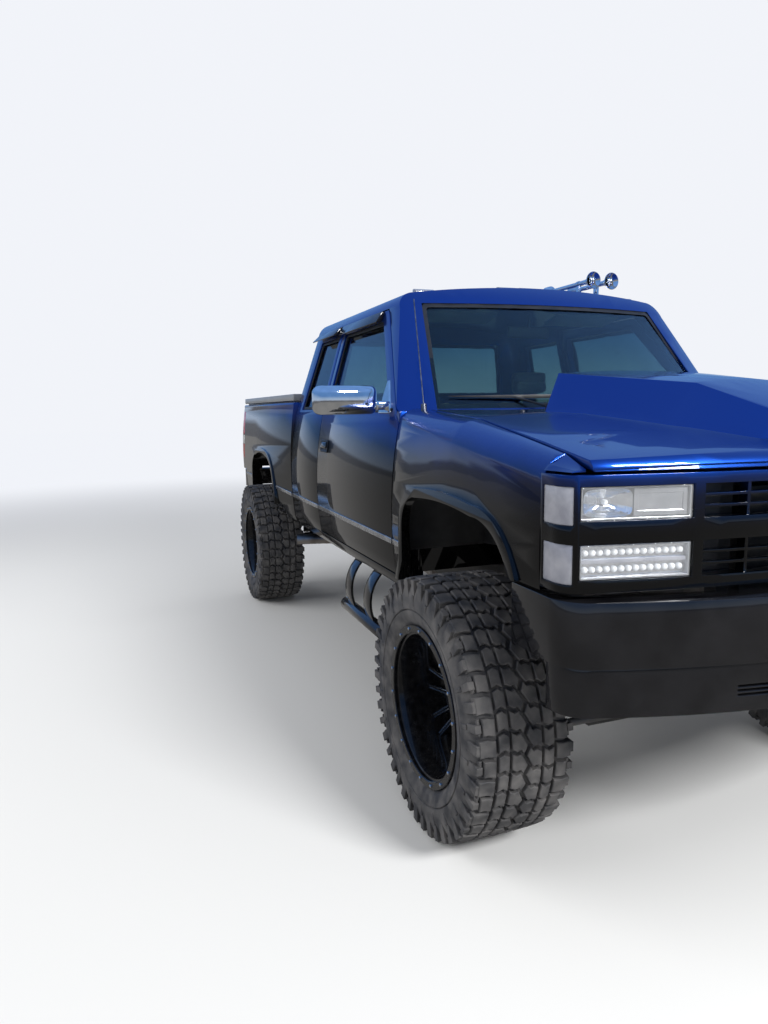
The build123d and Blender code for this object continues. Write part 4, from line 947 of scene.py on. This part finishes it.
# %% The diode bars
BAR_Z, BAR_H, COLUMNS = 1.145, 0.096, 14
for side, sign in SIDES:
    parts = [tray("diode_tray", HEAD_W, BAR_H, 0.036, 0.005, lamp_frame)]
    backing = cube("diode_backing", (0, 0.020, 0), (HEAD_W - 0.012, 0.006, BAR_H - 0.012))
    give(backing, reflector)
    bevelled(backing, 0.001, 1)
    strip = cube("diode_strip", (0, 0.013, 0), (HEAD_W - 0.012, 0.012, 0.012))
    give(strip, lens_ribs)
    bevelled(strip, 0.002, 2)
    lens = turned("diode_lens", ((0.0, 0.0092), (-0.0045, 0.0086), (-0.0075, 0.0056), (-0.0085, 0.002)), 14,
                  close_end=True)
    put(lens, (0, 0, 0), pi / 2, "Z")
    give(lens, diode)
    for row in (-1, 1):
        for i in range(COLUMNS):
            x = (i - (COLUMNS - 1) / 2) * 0.0214
            parts.append(copy_of(lens, Matrix.Translation((x, 0.017, row * 0.0235))))
    bpy.data.objects.remove(lens)
    lamp_piece = join([*parts, backing, strip], f"diode_bar_{side}")
    smooth(lamp_piece, 40)
    lamp_piece.data.transform(on_nose(sign * HEAD_X, BAR_Z, 0.009))
    settle(lamp_piece, lamp_frame, "chassis", "lamp_clear")
    lens_cover(f"diode_cover_{side}", HEAD_W, BAR_H, sign * HEAD_X, BAR_Z, 0.0065)
print("diode bars made, with", 2 * COLUMNS, "lenses each")

# %% [markdown]
# The corner lamps wrap round the nose's corners, so the CAD solids already have their shape. A copy of the
# lamp node keeps only those solids, and gets a ribbed finish and softer edges.

# %% The corner lamps
corner_lamps = merged_copy("front_lamps", "corner_lamps")
drop(corner_lamps, lambda face: abs(face.center.x) < 0.932)
bevelled(corner_lamps, 0.003, 2)
settle(corner_lamps, lens_ribs, "chassis", "lamp_clear", angle=40)
print("corner lamp faces", len(corner_lamps.data.polygons))

# %% [markdown]
# ## Drawing on the truck's skin
# Seals, mouldings, handles and pressed panels follow the skin, which is curved. They are drawn flat,
# given a thickness, and then every point is moved on to the skin: the drawing's two directions become the
# distance along the truck and the height, and its thickness goes outwards.

# %% Helpers that draw on the skin


def at(station):
    """Where a distance behind the front axle lies along the truck."""
    return FRONT_AXLE_Y + station


def side_x(z):
    """How far out the side is at a height: bulged up to the belt, then flat and leaning in."""
    if z > 1.535:
        return 0.925 - 0.297 * (z - 1.535)
    (z0, x0), (z1, x1), (z2, x2) = (0.835, 0.950), (1.120, 0.970), (1.535, 0.925)
    return (x0 * (z - z1) * (z - z2) / ((z0 - z1) * (z0 - z2))
            + x1 * (z - z0) * (z - z2) / ((z1 - z0) * (z1 - z2))
            + x2 * (z - z0) * (z - z1) / ((z2 - z0) * (z2 - z1)))


def on_side(sign, out=0.0):
    return lambda u, v, w: (sign * (side_x(v) + out + w), at(u), v)


def on_screen(out=0.0):
    """The windscreen, which bows forward: across is u and height is v."""
    def place(u, v, w):
        t = (v - 1.555) / 0.555
        middle, corner, half = 0.345 + 0.560 * t, 0.600 + 0.385 * t, 0.815 - 0.100 * t
        return (u, at(middle + (corner - middle) * (u / half) ** 2 - out - w), v)
    return place


def on_back_glass(out=0.0):
    return lambda u, v, w: (u, at(2.52 - 0.198 * (v - 1.62) + out + w), v)


def on_tail(out=0.0):
    return lambda u, v, w: (u, at(4.575 + out + w), v)


def laid(piece, place):
    """Moves every point of a flat drawing to its place, and turns its faces outwards again."""
    for vertex in piece.data.vertices:
        vertex.co = place(*vertex.co)
    only(piece)
    enter("EDIT")
    turn_outwards()
    return piece


def panel(name, corners, rounding, thick, edge=0.0015, band=0.0, cuts=0):
    """A flat drawing with rounded corners and a thickness; band keeps only a strip along its edge."""
    piece = drawn_outline(name, corners)
    enter("EDIT")
    bpy.ops.mesh.select_mode(type="VERT")
    select_all()
    if rounding:
        bpy.ops.mesh.bevel(offset=rounding, segments=5, affect="VERTICES")
    bpy.ops.mesh.select_mode(type="FACE")
    select_all()
    if band:
        bpy.ops.mesh.inset(thickness=band, depth=0)
        bpy.ops.mesh.delete(type="FACE")
        select_all()
    if cuts:
        bpy.ops.mesh.subdivide(number_cuts=cuts)
    bpy.ops.mesh.extrude_region_move(TRANSFORM_OT_translate={"value": (0, 0, thick)})
    turn_outwards()
    if edge:
        bevelled(piece, edge, 2, 50)
    return piece


def rectangle(u0, u1, v0, v1):
    return [(u0, v0), (u1, v0), (u1, v1), (u0, v1)]


DOORS = (("left", 1, BODY_OF["door_left"]), ("right", -1, BODY_OF["door_right"]))

# %% [markdown]
# ### Window seals
# Black rubber runs round every pane. The seal is the pane's outline, inset and emptied in the middle, and
# laid on the glass. On the windscreen it is divided first, so that it can follow the bow.

# %% Seals round the glass
door_pane = [(0.747, 1.567), (1.786, 1.567), (1.786, 1.998), (1.146, 1.998)]
quarter_pane = [(1.904, 1.571), (2.388, 1.571), (2.302, 1.994), (1.904, 1.994)]
for side, sign, body in DOORS:
    seal = laid(panel(f"door_seal_{side}", door_pane, 0.020, 0.010, 0.002, band=0.016), on_side(sign, -0.020))
    settle(seal, black_plastic, body, angle=40)
    belt = panel(f"door_belt_seal_{side}", rectangle(0.700, 1.826, 1.553, 1.571), 0.004, 0.010, 0.003)
    settle(laid(belt, on_side(sign, -0.004)), black_plastic, body)
    seal = laid(panel(f"quarter_seal_{side}", quarter_pane, 0.024, 0.010, 0.002, band=0.016),
                on_side(sign, -0.019))
    settle(seal, black_plastic, "chassis", angle=40)
screen_pane = [(-0.765, 1.560), (0.765, 1.560), (0.669, 2.071), (-0.669, 2.071)]
screen_seal = panel("windscreen_seal", screen_pane, 0.035, 0.008, 0.002, band=0.024, cuts=5)
laid(screen_seal, on_screen(-0.012))
settle(screen_seal, black_plastic, "chassis", angle=40)
back_pane = [(-0.642, 1.648), (0.642, 1.648), (0.572, 2.014), (-0.572, 2.014)]
back_seal = laid(panel("back_glass_seal", back_pane, 0.04, 0.010, 0.002, band=0.022), on_back_glass(-0.022))
settle(back_seal, black_plastic, "chassis", angle=40)
print("seals made")

# %% [markdown]
# ### Side moulding and handles
# A slim silver moulding runs the length of the side just above the wheel centres, broken at each seam, with
# pointed ends at the wheel arches. Each door has a dark recess with a lift handle and a lock.

# %% The side mouldings
MOULDING_LOW, MOULDING_HIGH = 0.976, 1.002
mouldings = (
    # name, first station, last station, pointed end (-1 front, 1 back, 0 none), rides on the door
    ("fender", 0.512, 0.578, -1, False), ("door", 0.592, 1.836, 0, True), ("cab", 1.850, 2.516, 0, False),
    ("bed", 2.552, 3.060, 1, False), ("bed_end", 4.105, 4.420, -1, False))
for side, sign, door_body in DOORS:
    for name, first, last, point, on_door in mouldings:
        middle_v = (MOULDING_LOW + MOULDING_HIGH) / 2
        corners = [(first, MOULDING_LOW), (last, MOULDING_LOW), (last, MOULDING_HIGH), (first, MOULDING_HIGH)]
        if point < 0:
            corners.append((first - 0.022, middle_v))
        if point > 0:
            corners.insert(2, (last + 0.022, middle_v))
        strip = panel(f"moulding_{name}_{side}", corners, 0, 0.008, 0.0035)
        laid(strip, on_side(sign, -0.0015))
        settle(strip, silver_trim, door_body if on_door else "chassis", angle=40)

# %% The door handles
HANDLE_Z = 1.359
for side, sign, body in DOORS:
    plate = panel("handle_plate", rectangle(1.636, 1.782, HANDLE_Z - 0.036, HANDLE_Z + 0.036), 0.014, 0.006)
    give(plate, black_plastic)
    inset(plate, lambda face: face.normal.z > 0.9 and face.area > 0.005, (0.008, 0), (0.006, -0.005))
    paddle = panel("handle_paddle", rectangle(1.650, 1.742, HANDLE_Z - 0.012, HANDLE_Z + 0.024), 0.010, 0.010,
                   0.004)
    give(paddle, gloss_black)
    put(paddle, (0, 0, 0.003))
    lock = turned("door_lock", ((0.001, 0.0095), (0.0075, 0.0095), (0.009, 0.008), (0.0085, 0.003)), 20,
                  close_end=True)
    put(lock, (1.760, HANDLE_Z, 0), -pi / 2, "Y")
    give(lock, silver_trim)
    handle = laid(join([plate, paddle, lock], f"door_handle_{side}"), on_side(sign, -0.001))
    settle(handle, black_plastic, body, angle=40)
print("mouldings and handles made")

# %% [markdown]
# ### Mirrors and visors
# The big mirrors are chromed shells with a bulged front, a silvered pane set into the back, an arm and a
# three-cornered foot on the door. Each starts as a block whose edges are rounded and whose front is pushed
# out. The smoked rain guards over the windows keep the CAD shape.

# %% Mirrors, their feet and the window visors
MIRROR = ((0.968, 1.262), (0.705, 0.815), (1.545, 1.672))
for side, sign, body in DOORS:
    (x0, x1), (s0, s1), (z0, z1) = MIRROR
    shell = cube("mirror_shell", ((x0 + x1) / 2, at((s0 + s1) / 2), (z0 + z1) / 2),
                 (x1 - x0, s1 - s0, z1 - z0))
    bevelled(shell, 0.034, 6)
    for vertex in shell.data.vertices:
        if vertex.co.y < at(s0 + 0.04):
            across = (vertex.co.x - (x0 + x1) / 2) / (x1 - x0) * 2
            vertex.co.y += 0.026 * across ** 2
    inset(shell, lambda face: face.normal.y > 0.95 and face.area > 0.008, (0.006, 0), (0.002, -0.010))
    give(shell, chrome, mirror_silver)
    second_finish(shell, lambda face: face.select)
    arm = cube("mirror_arm", (0.944, at(0.762), 1.583), (0.070, 0.052, 0.040))
    give(arm, chrome)
    bevelled(arm, 0.010, 3)
    foot = panel("mirror_foot", [(0.702, 1.548), (0.858, 1.548), (0.842, 1.694), (0.822, 1.700)],
                 0.008, 0.012, 0.004)
    give(foot, chrome)
    laid(foot, on_side(1, -0.004))
    mirror_piece = join([shell, arm, foot], f"mirror_{side}_dressed")
    if sign < 0:
        laid(mirror_piece, lambda x, y, z: (-x, y, z))
    settle(mirror_piece, chrome, body, SLOT_OF[f"mirror_{side}"], angle=40)
    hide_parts(f"mirror_{side}")
    guard = merged_copy(f"mirror_{side}", f"door_visor_{side}")
    drop(guard, lambda face: face.center.z < 1.9)
    bevelled(guard, 0.0015, 2)
    settle(guard, smoked, body, angle=40)
print("mirrors and visors made")

# %% [markdown]
# ### Hood edge, scoop and washer jets
# A folded lip closes the hood's front edge down to the grille shell. The scoop has a black insert, whose
# faces are divided and each drawn in a little like the cells of a grid. Two washer jets stand on the hood.

# %% The hood's front lip, scoop insert and washer jets
lip = panel("hood_front_lip", rectangle(-0.885, 0.885, 1.3915, 1.410), 0, 0.010, 0.003, cuts=5)
laid(lip, lambda u, v, w: (u, nose_y(u, 0.006 + w + 0.35 * (v - 1.3915)), v))
settle(lip, body_paint, BODY_OF["hood"], angle=40)

insert = cube("scoop_insert", (0, at(0.165), 1.612), (0.68, 0.010, 0.085))
pick(insert, lambda face: abs(face.normal.y) > 0.9)
bpy.ops.mesh.subdivide(number_cuts=5)
enter("OBJECT")
inset(insert, lambda face: abs(face.normal.y) > 0.9, (0.004, -0.003), use_individual=True)
bevelled(insert, 0.001, 1, 60)
settle(insert, black_plastic, BODY_OF["hood"])
for side, sign in SIDES:
    jet = turned(f"washer_jet_{side}", ((0, 0.011), (0.004, 0.011), (0.008, 0.008), (0.009, 0.004)), 16,
                 close_end=True)
    put(jet, (sign * 0.52, at(0.25), 1.5475), -pi / 2, "Y")
    settle(jet, black_plastic, BODY_OF["hood"], angle=40)
print("hood pieces made")

# %% [markdown]
# ### Roof horns
# The two trumpet horns lie on the roof beside each other. A trumpet is turned: the bell flares to a rolled
# lip and turns back inside, so its mouth is open. The throat, the driver at the back and the feet follow.

# %% The horns
BELL = ((0.132, 0.013), (0.070, 0.0145), (0.048, 0.018), (0.030, 0.025), (0.016, 0.035), (0.006, 0.0450),
        (0.001, 0.0465), (0.0, 0.0450), (0.006, 0.0415), (0.017, 0.031), (0.032, 0.020), (0.060, 0.011),
        (0.090, 0.009))
HORN_MOUTH, HORN_Z = 1.130, 2.258
horn_parts = []
for x, length in ((0.455, 0.420), (0.575, 0.330)):
    bell = turned("horn_bell", BELL, 40, close_end=True)
    throat = turned("horn_throat", ((0.130, 0.013), (length - 0.01, 0.013)), 24)
    driver = turned("horn_driver", (
        (length - 0.016, 0.013), (length - 0.010, 0.022), (length, 0.0335), (length + 0.018, 0.034),
        (length + 0.020, 0.031), (length + 0.024, 0.031), (length + 0.026, 0.034), (length + 0.047, 0.034),
        (length + 0.055, 0.027)), 36, close_end=True)
    for piece in (bell, throat, driver):
        put(piece, (x, at(HORN_MOUTH), HORN_Z), pi / 2, "Z")
        horn_parts.append(piece)
    for station in (1.270, 1.110 + length):
        roof_z = 2.165 - 0.5 * x * x / 5.98
        foot = cube("horn_foot", (x, at(station), (HORN_Z + roof_z) / 2 - 0.004),
                    (0.020, 0.030, 2.252 - roof_z))
        bevelled(foot, 0.004, 2)
        pad = cube("horn_pad", (x, at(station), roof_z + 0.003), (0.046, 0.058, 0.010))
        bevelled(pad, 0.003, 2)
        clamp = turned("horn_clamp", (
            (-0.009, 0.0135), (-0.009, 0.0165), (0.009, 0.0165), (0.009, 0.0135)), 24)
        put(clamp, (x, at(station), HORN_Z), pi / 2, "Z")
        horn_parts += [foot, pad, clamp]
horns = join(horn_parts, "roof_horns_dressed")
settle(horns, chrome, "chassis", SLOT_OF["roof_horns"], angle=35)
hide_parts("roof_horns")
print("horn faces", len(horns.data.polygons))

# %% [markdown]
# ## The back of the truck
# The tailgate has a pressed panel with softened edges and a lift handle in a recess, and a bare number plate
# is below it in the bumper. The bumper's top is a black step plate with four groups of low ribs. A tow ball,
# the lid's lock and the fuel door on the left side follow.

# %% Tailgate panel, handle and bumper fittings
gate_body = BODY_OF["tailgate"]
pressed = panel("tailgate_panel", rectangle(-0.70, 0.70, 1.235, 1.470), 0.040, 0.009, 0.004)
laid(pressed, on_tail(-0.004))
settle(pressed, body_paint, gate_body, angle=40)
recess = panel("gate_recess", rectangle(-0.090, 0.090, 1.510, 1.570), 0.012, 0.010, 0.002, band=0.010)
give(recess, black_plastic)
laid(recess, on_tail(-0.008))
back_plate = cube("gate_recess_back", (0, at(4.555), 1.540), (0.172, 0.004, 0.054))
give(back_plate, black_plastic)
lift = cube("gate_lift", (0, at(4.566), 1.548), (0.138, 0.014, 0.030))
give(lift, gloss_black)
bevelled(lift, 0.005, 3)
gate_lock = turned("gate_lock", ((0, 0.009), (0.006, 0.009), (0.008, 0.007), (0.007, 0.003)), 20,
                   close_end=True)
put(gate_lock, (0, at(4.566), 1.520), pi / 2, "Z")
give(gate_lock, silver_trim)
handle = join([recess, back_plate, lift, gate_lock], "tailgate_handle")
settle(handle, black_plastic, gate_body, angle=40)

plate = panel("rear_plate", rectangle(-0.152, 0.152, 0.876, 1.000), 0.012, 0.0015, 0.0005)
give(plate, trim_grey)
laid(plate, lambda u, v, w: (u, at(4.610 + w), v))
plate_bolts = []
for x in (-0.089, 0.089):
    for z in (0.896, 1.008):
        head = turned("plate_bolt", ((0, 0.006), (0.003, 0.006), (0.0045, 0.003)), 6, close_end=True)
        put(head, (x, at(4.6115), z), pi / 2, "Z")
        give(head, chrome)
        plate_bolts.append(head)
plate = join([plate, *plate_bolts], "rear_number_plate")
settle(plate, trim_grey, "chassis")

step = cube("bumper_step", (0, at(4.574), 1.012), (1.660, 0.110, 0.012))
bevelled(step, 0.003, 2)
give(step, black_plastic)
treads = []
for x in (-0.60, -0.36, 0.36, 0.60):
    for row in range(4):
        rib = cube("step_rib", (x, at(4.580 + row * 0.014), 1.0190), (0.200, 0.006, 0.004))
        bevelled(rib, 0.0015, 1)
        treads.append(rib)
step = join([step, *treads], "bumper_step")
settle(step, black_plastic, "chassis")

ball = turned("tow_ball", ((-0.012, 0.034), (-0.004, 0.034), (-0.002, 0.016), (0.030, 0.0145), (0.034, 0.018),
                           (0.044, 0.0245), (0.056, 0.0255), (0.068, 0.021), (0.075, 0.012)), 32,
              close_start=True, close_end=True)
put(ball, (0, at(4.610), 1.026), -pi / 2, "Y")
settle(ball, chrome, "chassis", angle=50)
lid_lock = turned("lid_lock", ((0, 0.020), (0.004, 0.020), (0.007, 0.017), (0.007, 0.010), (0.016, 0.009),
                               (0.018, 0.006)), 24, close_end=True)
put(lid_lock, (0, at(4.5705), 1.656), pi / 2, "Z")
settle(lid_lock, silver_trim, BODY_OF["bed_lid"], angle=40)
fuel_door = panel("fuel_door", rectangle(2.740, 2.900, 1.300, 1.450), 0.022, 0.0035, 0.0015)
laid(fuel_door, lambda u, v, w: (side_x(v) + 0.0015 + w, at(u), v))
settle(fuel_door, body_paint, "chassis", angle=40)
print("rear pieces made")

# %% [markdown]
# ## Seats
# Two bucket seats and a rear bench stand on hard black bases. The padding is what cloth does to foam: a
# closed block of cloth is remeshed evenly, blown up by a little pressure with Blender's Cloth, and held to a
# few centimetres of swelling. Its underside is pinned where it rests. The sewn channels are pressed in
# afterwards, because the remesh would wipe them out. One cushion, back and head rest are made and copied.

# %% A helper that stuffs a pad


def stuffed(name, centre, size, lean, voxel, cap, seams, seam_axis, rests=True):
    """Blows up a block of cloth, then presses its sewn seams in.

    seams holds (axis, place) pairs in metres from the pad's centre, before it leans back.
    """
    pad = cube(name, (0, 0, 0), size)
    bevelled(pad, min(size) * 0.28, 3)
    for vertex in pad.data.vertices:
        across = min(1.0, abs(vertex.co.x) / (size[0] / 2))
        if vertex.co[seam_axis[0]] * seam_axis[1] > 0:
            vertex.co[seam_axis[0]] += seam_axis[1] * 0.014 * max(0.0, across - 0.55) / 0.45
    remesh = pad.modifiers.new("even_cloth", "REMESH")
    remesh.mode = "VOXEL"
    remesh.voxel_size = voxel
    apply_modifiers(pad)
    start = [vertex.co.copy() for vertex in pad.data.vertices]
    cloth = pad.modifiers.new("cloth", "CLOTH")
    cloth.settings.quality = 5
    cloth.settings.use_pressure = True
    cloth.settings.uniform_pressure_force = 4.0
    cloth.settings.effector_weights.gravity = 0
    if rests:
        low = min(point.z for point in start)
        held = pad.vertex_groups.new(name="held")
        held.add([i for i, point in enumerate(start) if point.z < low + voxel * 0.6], 1.0, "REPLACE")
        cloth.settings.vertex_group_mass = "held"
    for step in range(1, 21):
        bpy.context.scene.frame_set(step)
    apply_modifiers(pad)
    bpy.context.scene.frame_set(1)
    pad.vertex_groups.clear()
    for vertex, origin in zip(pad.data.vertices, start):
        way = vertex.co - origin
        if way.length > cap:
            vertex.co = origin + way * (cap / way.length)
    softer = pad.modifiers.new("softer", "SUBSURF")
    softer.levels = softer.render_levels = 1
    apply_modifiers(pad)
    normals = [vertex.normal.copy() for vertex in pad.data.vertices]
    for vertex, normal in zip(pad.data.vertices, normals):
        facing = normal[seam_axis[0]] * seam_axis[1]
        if facing > 0.2:
            near = min(abs(vertex.co[axis] - place) for axis, place in seams)
            vertex.co -= normal * (0.0075 * exp(-(near / 0.0065) ** 2) * min(1.0, facing * 1.5))
    put(pad, centre, lean, "X")
    smooth(pad, 70)
    return pad


# %% The padding of the front and rear seats
BACK_LEAN = -radians(18.5)
SEAT_X = 0.4
seat_slot = SLOT_OF["seats"]
ribs = [(0, x) for x in (-0.150, -0.075, 0.0, 0.075, 0.150)]
cushion = stuffed("seat_cushion", (0, at(1.345), 1.182), (0.505, 0.385, 0.150), 0, 0.015, 0.022,
                  ribs + [(0, -0.205), (0, 0.205)], (2, 1))
backrest = stuffed("seat_backrest", (0, at(1.646), 1.437), (0.490, 0.090, 0.345), BACK_LEAN, 0.015, 0.022,
                   ribs + [(0, -0.200), (0, 0.200)], (1, -1), rests=False)
head_rest = stuffed("seat_head_rest", (0, at(1.705), 1.716), (0.222, 0.066, 0.128), -radians(8), 0.009, 0.012,
                    [(2, 0.0)], (1, -1), rests=False)
bench_ribs = [(0, x) for x in (-0.46, -0.345, -0.23, -0.015, 0.015, 0.23, 0.345, 0.46)]
bench_cushion = stuffed("bench_cushion", (0, at(2.098), 1.186), (1.345, 0.245, 0.146), 0, 0.019, 0.020,
                        bench_ribs, (2, 1))
bench_back = stuffed("bench_backrest", (0, at(2.305), 1.395), (1.340, 0.082, 0.250), BACK_LEAN, 0.019, 0.020,
                     bench_ribs, (1, -1), rests=False)
pads = [(bench_cushion, 0.8), (bench_back, 0.8)]
for pad, name in ((cushion, "cushion"), (backrest, "backrest"), (head_rest, "head_rest")):
    for side, x in (("left", SEAT_X), ("right", -SEAT_X)):
        made = copy_of(pad, Matrix.Translation((x, 0, 0)))
        made.name = f"{side}_seat_{name}"
        pads.append((made, 0.8))
    bpy.data.objects.remove(pad)
for pad, fill in pads:
    settle(pad, seat_cloth, "chassis", seat_slot)
    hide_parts("seats")
print("padding faces", sum(len(pad.data.polygons) for pad, fill in pads))

# %% The seats' hard parts
hard = []
for x in (-SEAT_X, SEAT_X):
    base = cube("seat_base", (x, at(1.365), 0.990), (0.470, 0.400, 0.212))
    pick(base, lambda face: face.normal.z < -0.9)
    bpy.ops.transform.resize(value=(0.86, 0.86, 1), center_override=(x, at(1.365), 0.885))
    enter("OBJECT")
    bevelled(base, 0.018, 3)
    hard.append(base)
    for side in (-1, 1):
        hinge = turned("seat_hinge", ((-0.010, 0.050), (0.006, 0.050), (0.010, 0.044)), 32, True, True)
        put(hinge, (x + side * 0.250, at(1.590), 1.225))
        hard.append(hinge)
        post = turned("head_rest_post", ((1.58, 0.006), (1.68, 0.006)), 16, True, True)
        put(post, (x + side * 0.055, at(1.690), 0), -pi / 2, "Y")
        give(post, chrome)
        hard.append(post)
bench_base = cube("bench_base", (0, at(2.110), 0.990), (1.300, 0.260, 0.212))
bevelled(bench_base, 0.018, 3)
hard.append(bench_base)
for piece in hard:
    if not piece.data.materials:
        give(piece, black_plastic)
seat_frames = join(hard, "seat_frames")
settle(seat_frames, black_plastic, "chassis", angle=40)
print("seats made")

# %% [markdown]
# ### Dashboard and mirror inside
# The steering wheel is black while the dash is grey, so its faces take their own finish. A pale mat lies on
# the dash's top, which the windscreen shows as a light strip, with an inside mirror and two sun visors above.

# %% The cabin's small pieces
dash = skins["dashboard"]
give(dash, black_plastic)
ring_centre = Vector((SEAT_X, at(0.985), 1.43))
second_finish(dash, lambda face: (face.center - ring_centre).length < 0.212)
mat = panel("dash_mat", rectangle(-0.70, 0.70, 0.600, 0.800), 0.030, 0.008, 0.003, cuts=2)
laid(mat, lambda u, v, w: (u, at(v), 1.494 + (v - 0.6) * 0.05 + w))
settle(mat, pale_mat, "chassis", angle=40)
stack = panel("dash_stack", rectangle(-0.17, 0.17, 0.0, 0.150), 0.012, 0.012, 0.003)
laid(stack, lambda u, v, w: (u, at(0.905 + v * 0.15 + w), 1.228 + v))
settle(stack, gloss_black, "chassis")
inside_mirror = cube("inside_mirror", (0, at(1.06), 1.955), (0.250, 0.020, 0.062))
bevelled(inside_mirror, 0.009, 3)
inset(inside_mirror, lambda face: face.normal.y > 0.95, (0.004, 0), (0.001, -0.002))
give(inside_mirror, black_plastic, mirror_silver)
second_finish(inside_mirror, lambda face: face.select)
stalk = cube("mirror_stalk", (0, at(1.055), 2.010), (0.020, 0.012, 0.085))
bevelled(stalk, 0.004, 2)
give(stalk, black_plastic)
inside_mirror = join([inside_mirror, stalk], "inside_mirror")
settle(inside_mirror, black_plastic, "chassis", angle=40)
for side, sign in SIDES:
    visor = cube(f"sun_visor_{side}", (sign * 0.38, at(1.135), 2.035), (0.40, 0.150, 0.018),
                 (radians(-14), 0, 0))
    bevelled(visor, 0.008, 3)
    settle(visor, pale_mat, "chassis", angle=40)
radiator = skins["radiator_support"]
give(radiator, radiator_core)
second_finish(radiator, lambda face: abs(face.center.x) < 0.386 and abs(face.normal.y) > 0.9)
print("cabin pieces made")

# %% [markdown]
# ## Under the hood
# With the hood up, the engine shows. A round air cleaner sits on the intake between two valve covers with
# spark plug boots below them. Belt pulleys are at the front, and the battery is on its tray at one side.

# %% The engine's outer parts
engine = []
for sign in (1, -1):
    cover = cube("valve_cover", (sign * 0.198, at(-0.06), 1.352), (0.120, 0.600, 0.050))
    inset(cover, lambda face: face.normal.z > 0.9, (0.014, 0.014))
    bevelled(cover, 0.006, 3)
    give(cover, chrome)
    engine.append(cover)
    for i in range(4):
        plug = turned("spark_plug_boot", ((0, 0.010), (0.030, 0.010), (0.036, 0.006), (0.050, 0.006)), 12,
                      True, True)
        put(plug, (sign * 0.285, at(-0.28 + i * 0.15), 1.262), 0.5 * sign + (pi if sign < 0 else 0), "Y")
        give(plug, black_plastic)
        engine.append(plug)
intake = cube("intake", (0, at(-0.06), 1.345), (0.235, 0.520, 0.036))
bevelled(intake, 0.010, 3)
give(intake, cast_metal)
AIR_CLEANER = ((0, 0.120), (0.006, 0.172), (0.014, 0.178), (0.054, 0.178), (0.060, 0.184), (0.067, 0.180),
               (0.070, 0.160), (0.074, 0.040), (0.078, 0.034), (0.078, 0.012))
cleaner = turned("air_cleaner", AIR_CLEANER, 72, True, True)
put(cleaner, (0, at(-0.05), 1.364), -pi / 2, "Y")
give(cleaner, chrome)
wing_nut = turned("wing_nut", ((0, 0.010), (0.014, 0.010), (0.018, 0.005)), 6, True, True)
put(wing_nut, (0, at(-0.05), 1.440), -pi / 2, "Y")
give(wing_nut, silver_trim)
engine += [intake, cleaner, wing_nut]
for x, z, radius in ((0, 1.00, 0.085), (0, 1.19, 0.075), (0.20, 1.235, 0.040), (-0.20, 1.235, 0.062)):
    pulley = turned("belt_pulley", (
        (0, radius * 0.55), (0, radius), (0.006, radius), (0.012, radius * 0.9), (0.018, radius * 0.9),
        (0.024, radius), (0.030, radius), (0.030, radius * 0.6), (0.020, radius * 0.5),
        (0.034, radius * 0.2)),
        40, True, True)
    put(pulley, (x, at(-0.431), z), -pi / 2, "Z")
    give(pulley, cast_metal)
    engine.append(pulley)
engine_top = join(engine, "engine_fittings")
settle(engine_top, cast_metal, "chassis", angle=35)
battery = cube("battery_case", (0.59, at(-0.455), 1.225), (0.185, 0.150, 0.190))
inset(battery, lambda face: face.normal.z > 0.9, (0.006, 0), (0.001, 0.012))
bevelled(battery, 0.003, 2)
give(battery, black_plastic)
tray_plate = cube("battery_tray", (0.59, at(-0.460), 1.122), (0.220, 0.170, 0.016))
bevelled(tray_plate, 0.003, 2)
give(tray_plate, frame_black)
posts = []
for x in (0.535, 0.645):
    terminal = turned("battery_terminal", ((0, 0.011), (0.022, 0.009), (0.024, 0.006)), 16, True, True)
    put(terminal, (x, at(-0.455), 1.331), -pi / 2, "Y")
    give(terminal, silver_trim)
    posts.append(terminal)
battery = join([battery, tray_plate, *posts], "battery")
settle(battery, black_plastic, "chassis")
print("engine bay pieces made")

# %% [markdown]
# ## Brakes
# Behind each wheel there is a brake disc that turns with it. Its profile is a closed ring round the hub,
# turned in one go, with a groove in its rim between the two braking faces.

# %% Brake discs
DISC_X = 0.834
DISC = ((0, 0.0695), (0, 0.164), (0.002, 0.166), (0.008, 0.166), (0.009, 0.158), (0.012, 0.158),
        (0.013, 0.166), (0.019, 0.166), (0.021, 0.164), (0.021, 0.098), (0.029, 0.092), (0.031, 0.086),
        (0.031, 0.0695), (0, 0.0695))
disc = turned("brake_disc", DISC, 64)
smooth(disc, 35)
for end, axle_y in AXLES:
    for side, sign in SIDES:
        made = copy_of(disc, at_corner(sign, axle_y, DISC_X))
        made.name = f"brake_disc_{end}_{side}"
        settle(made, milled, BODY_OF[f"wheel_{end}_{side}"])
bpy.data.objects.remove(disc)
print("brake discs made")
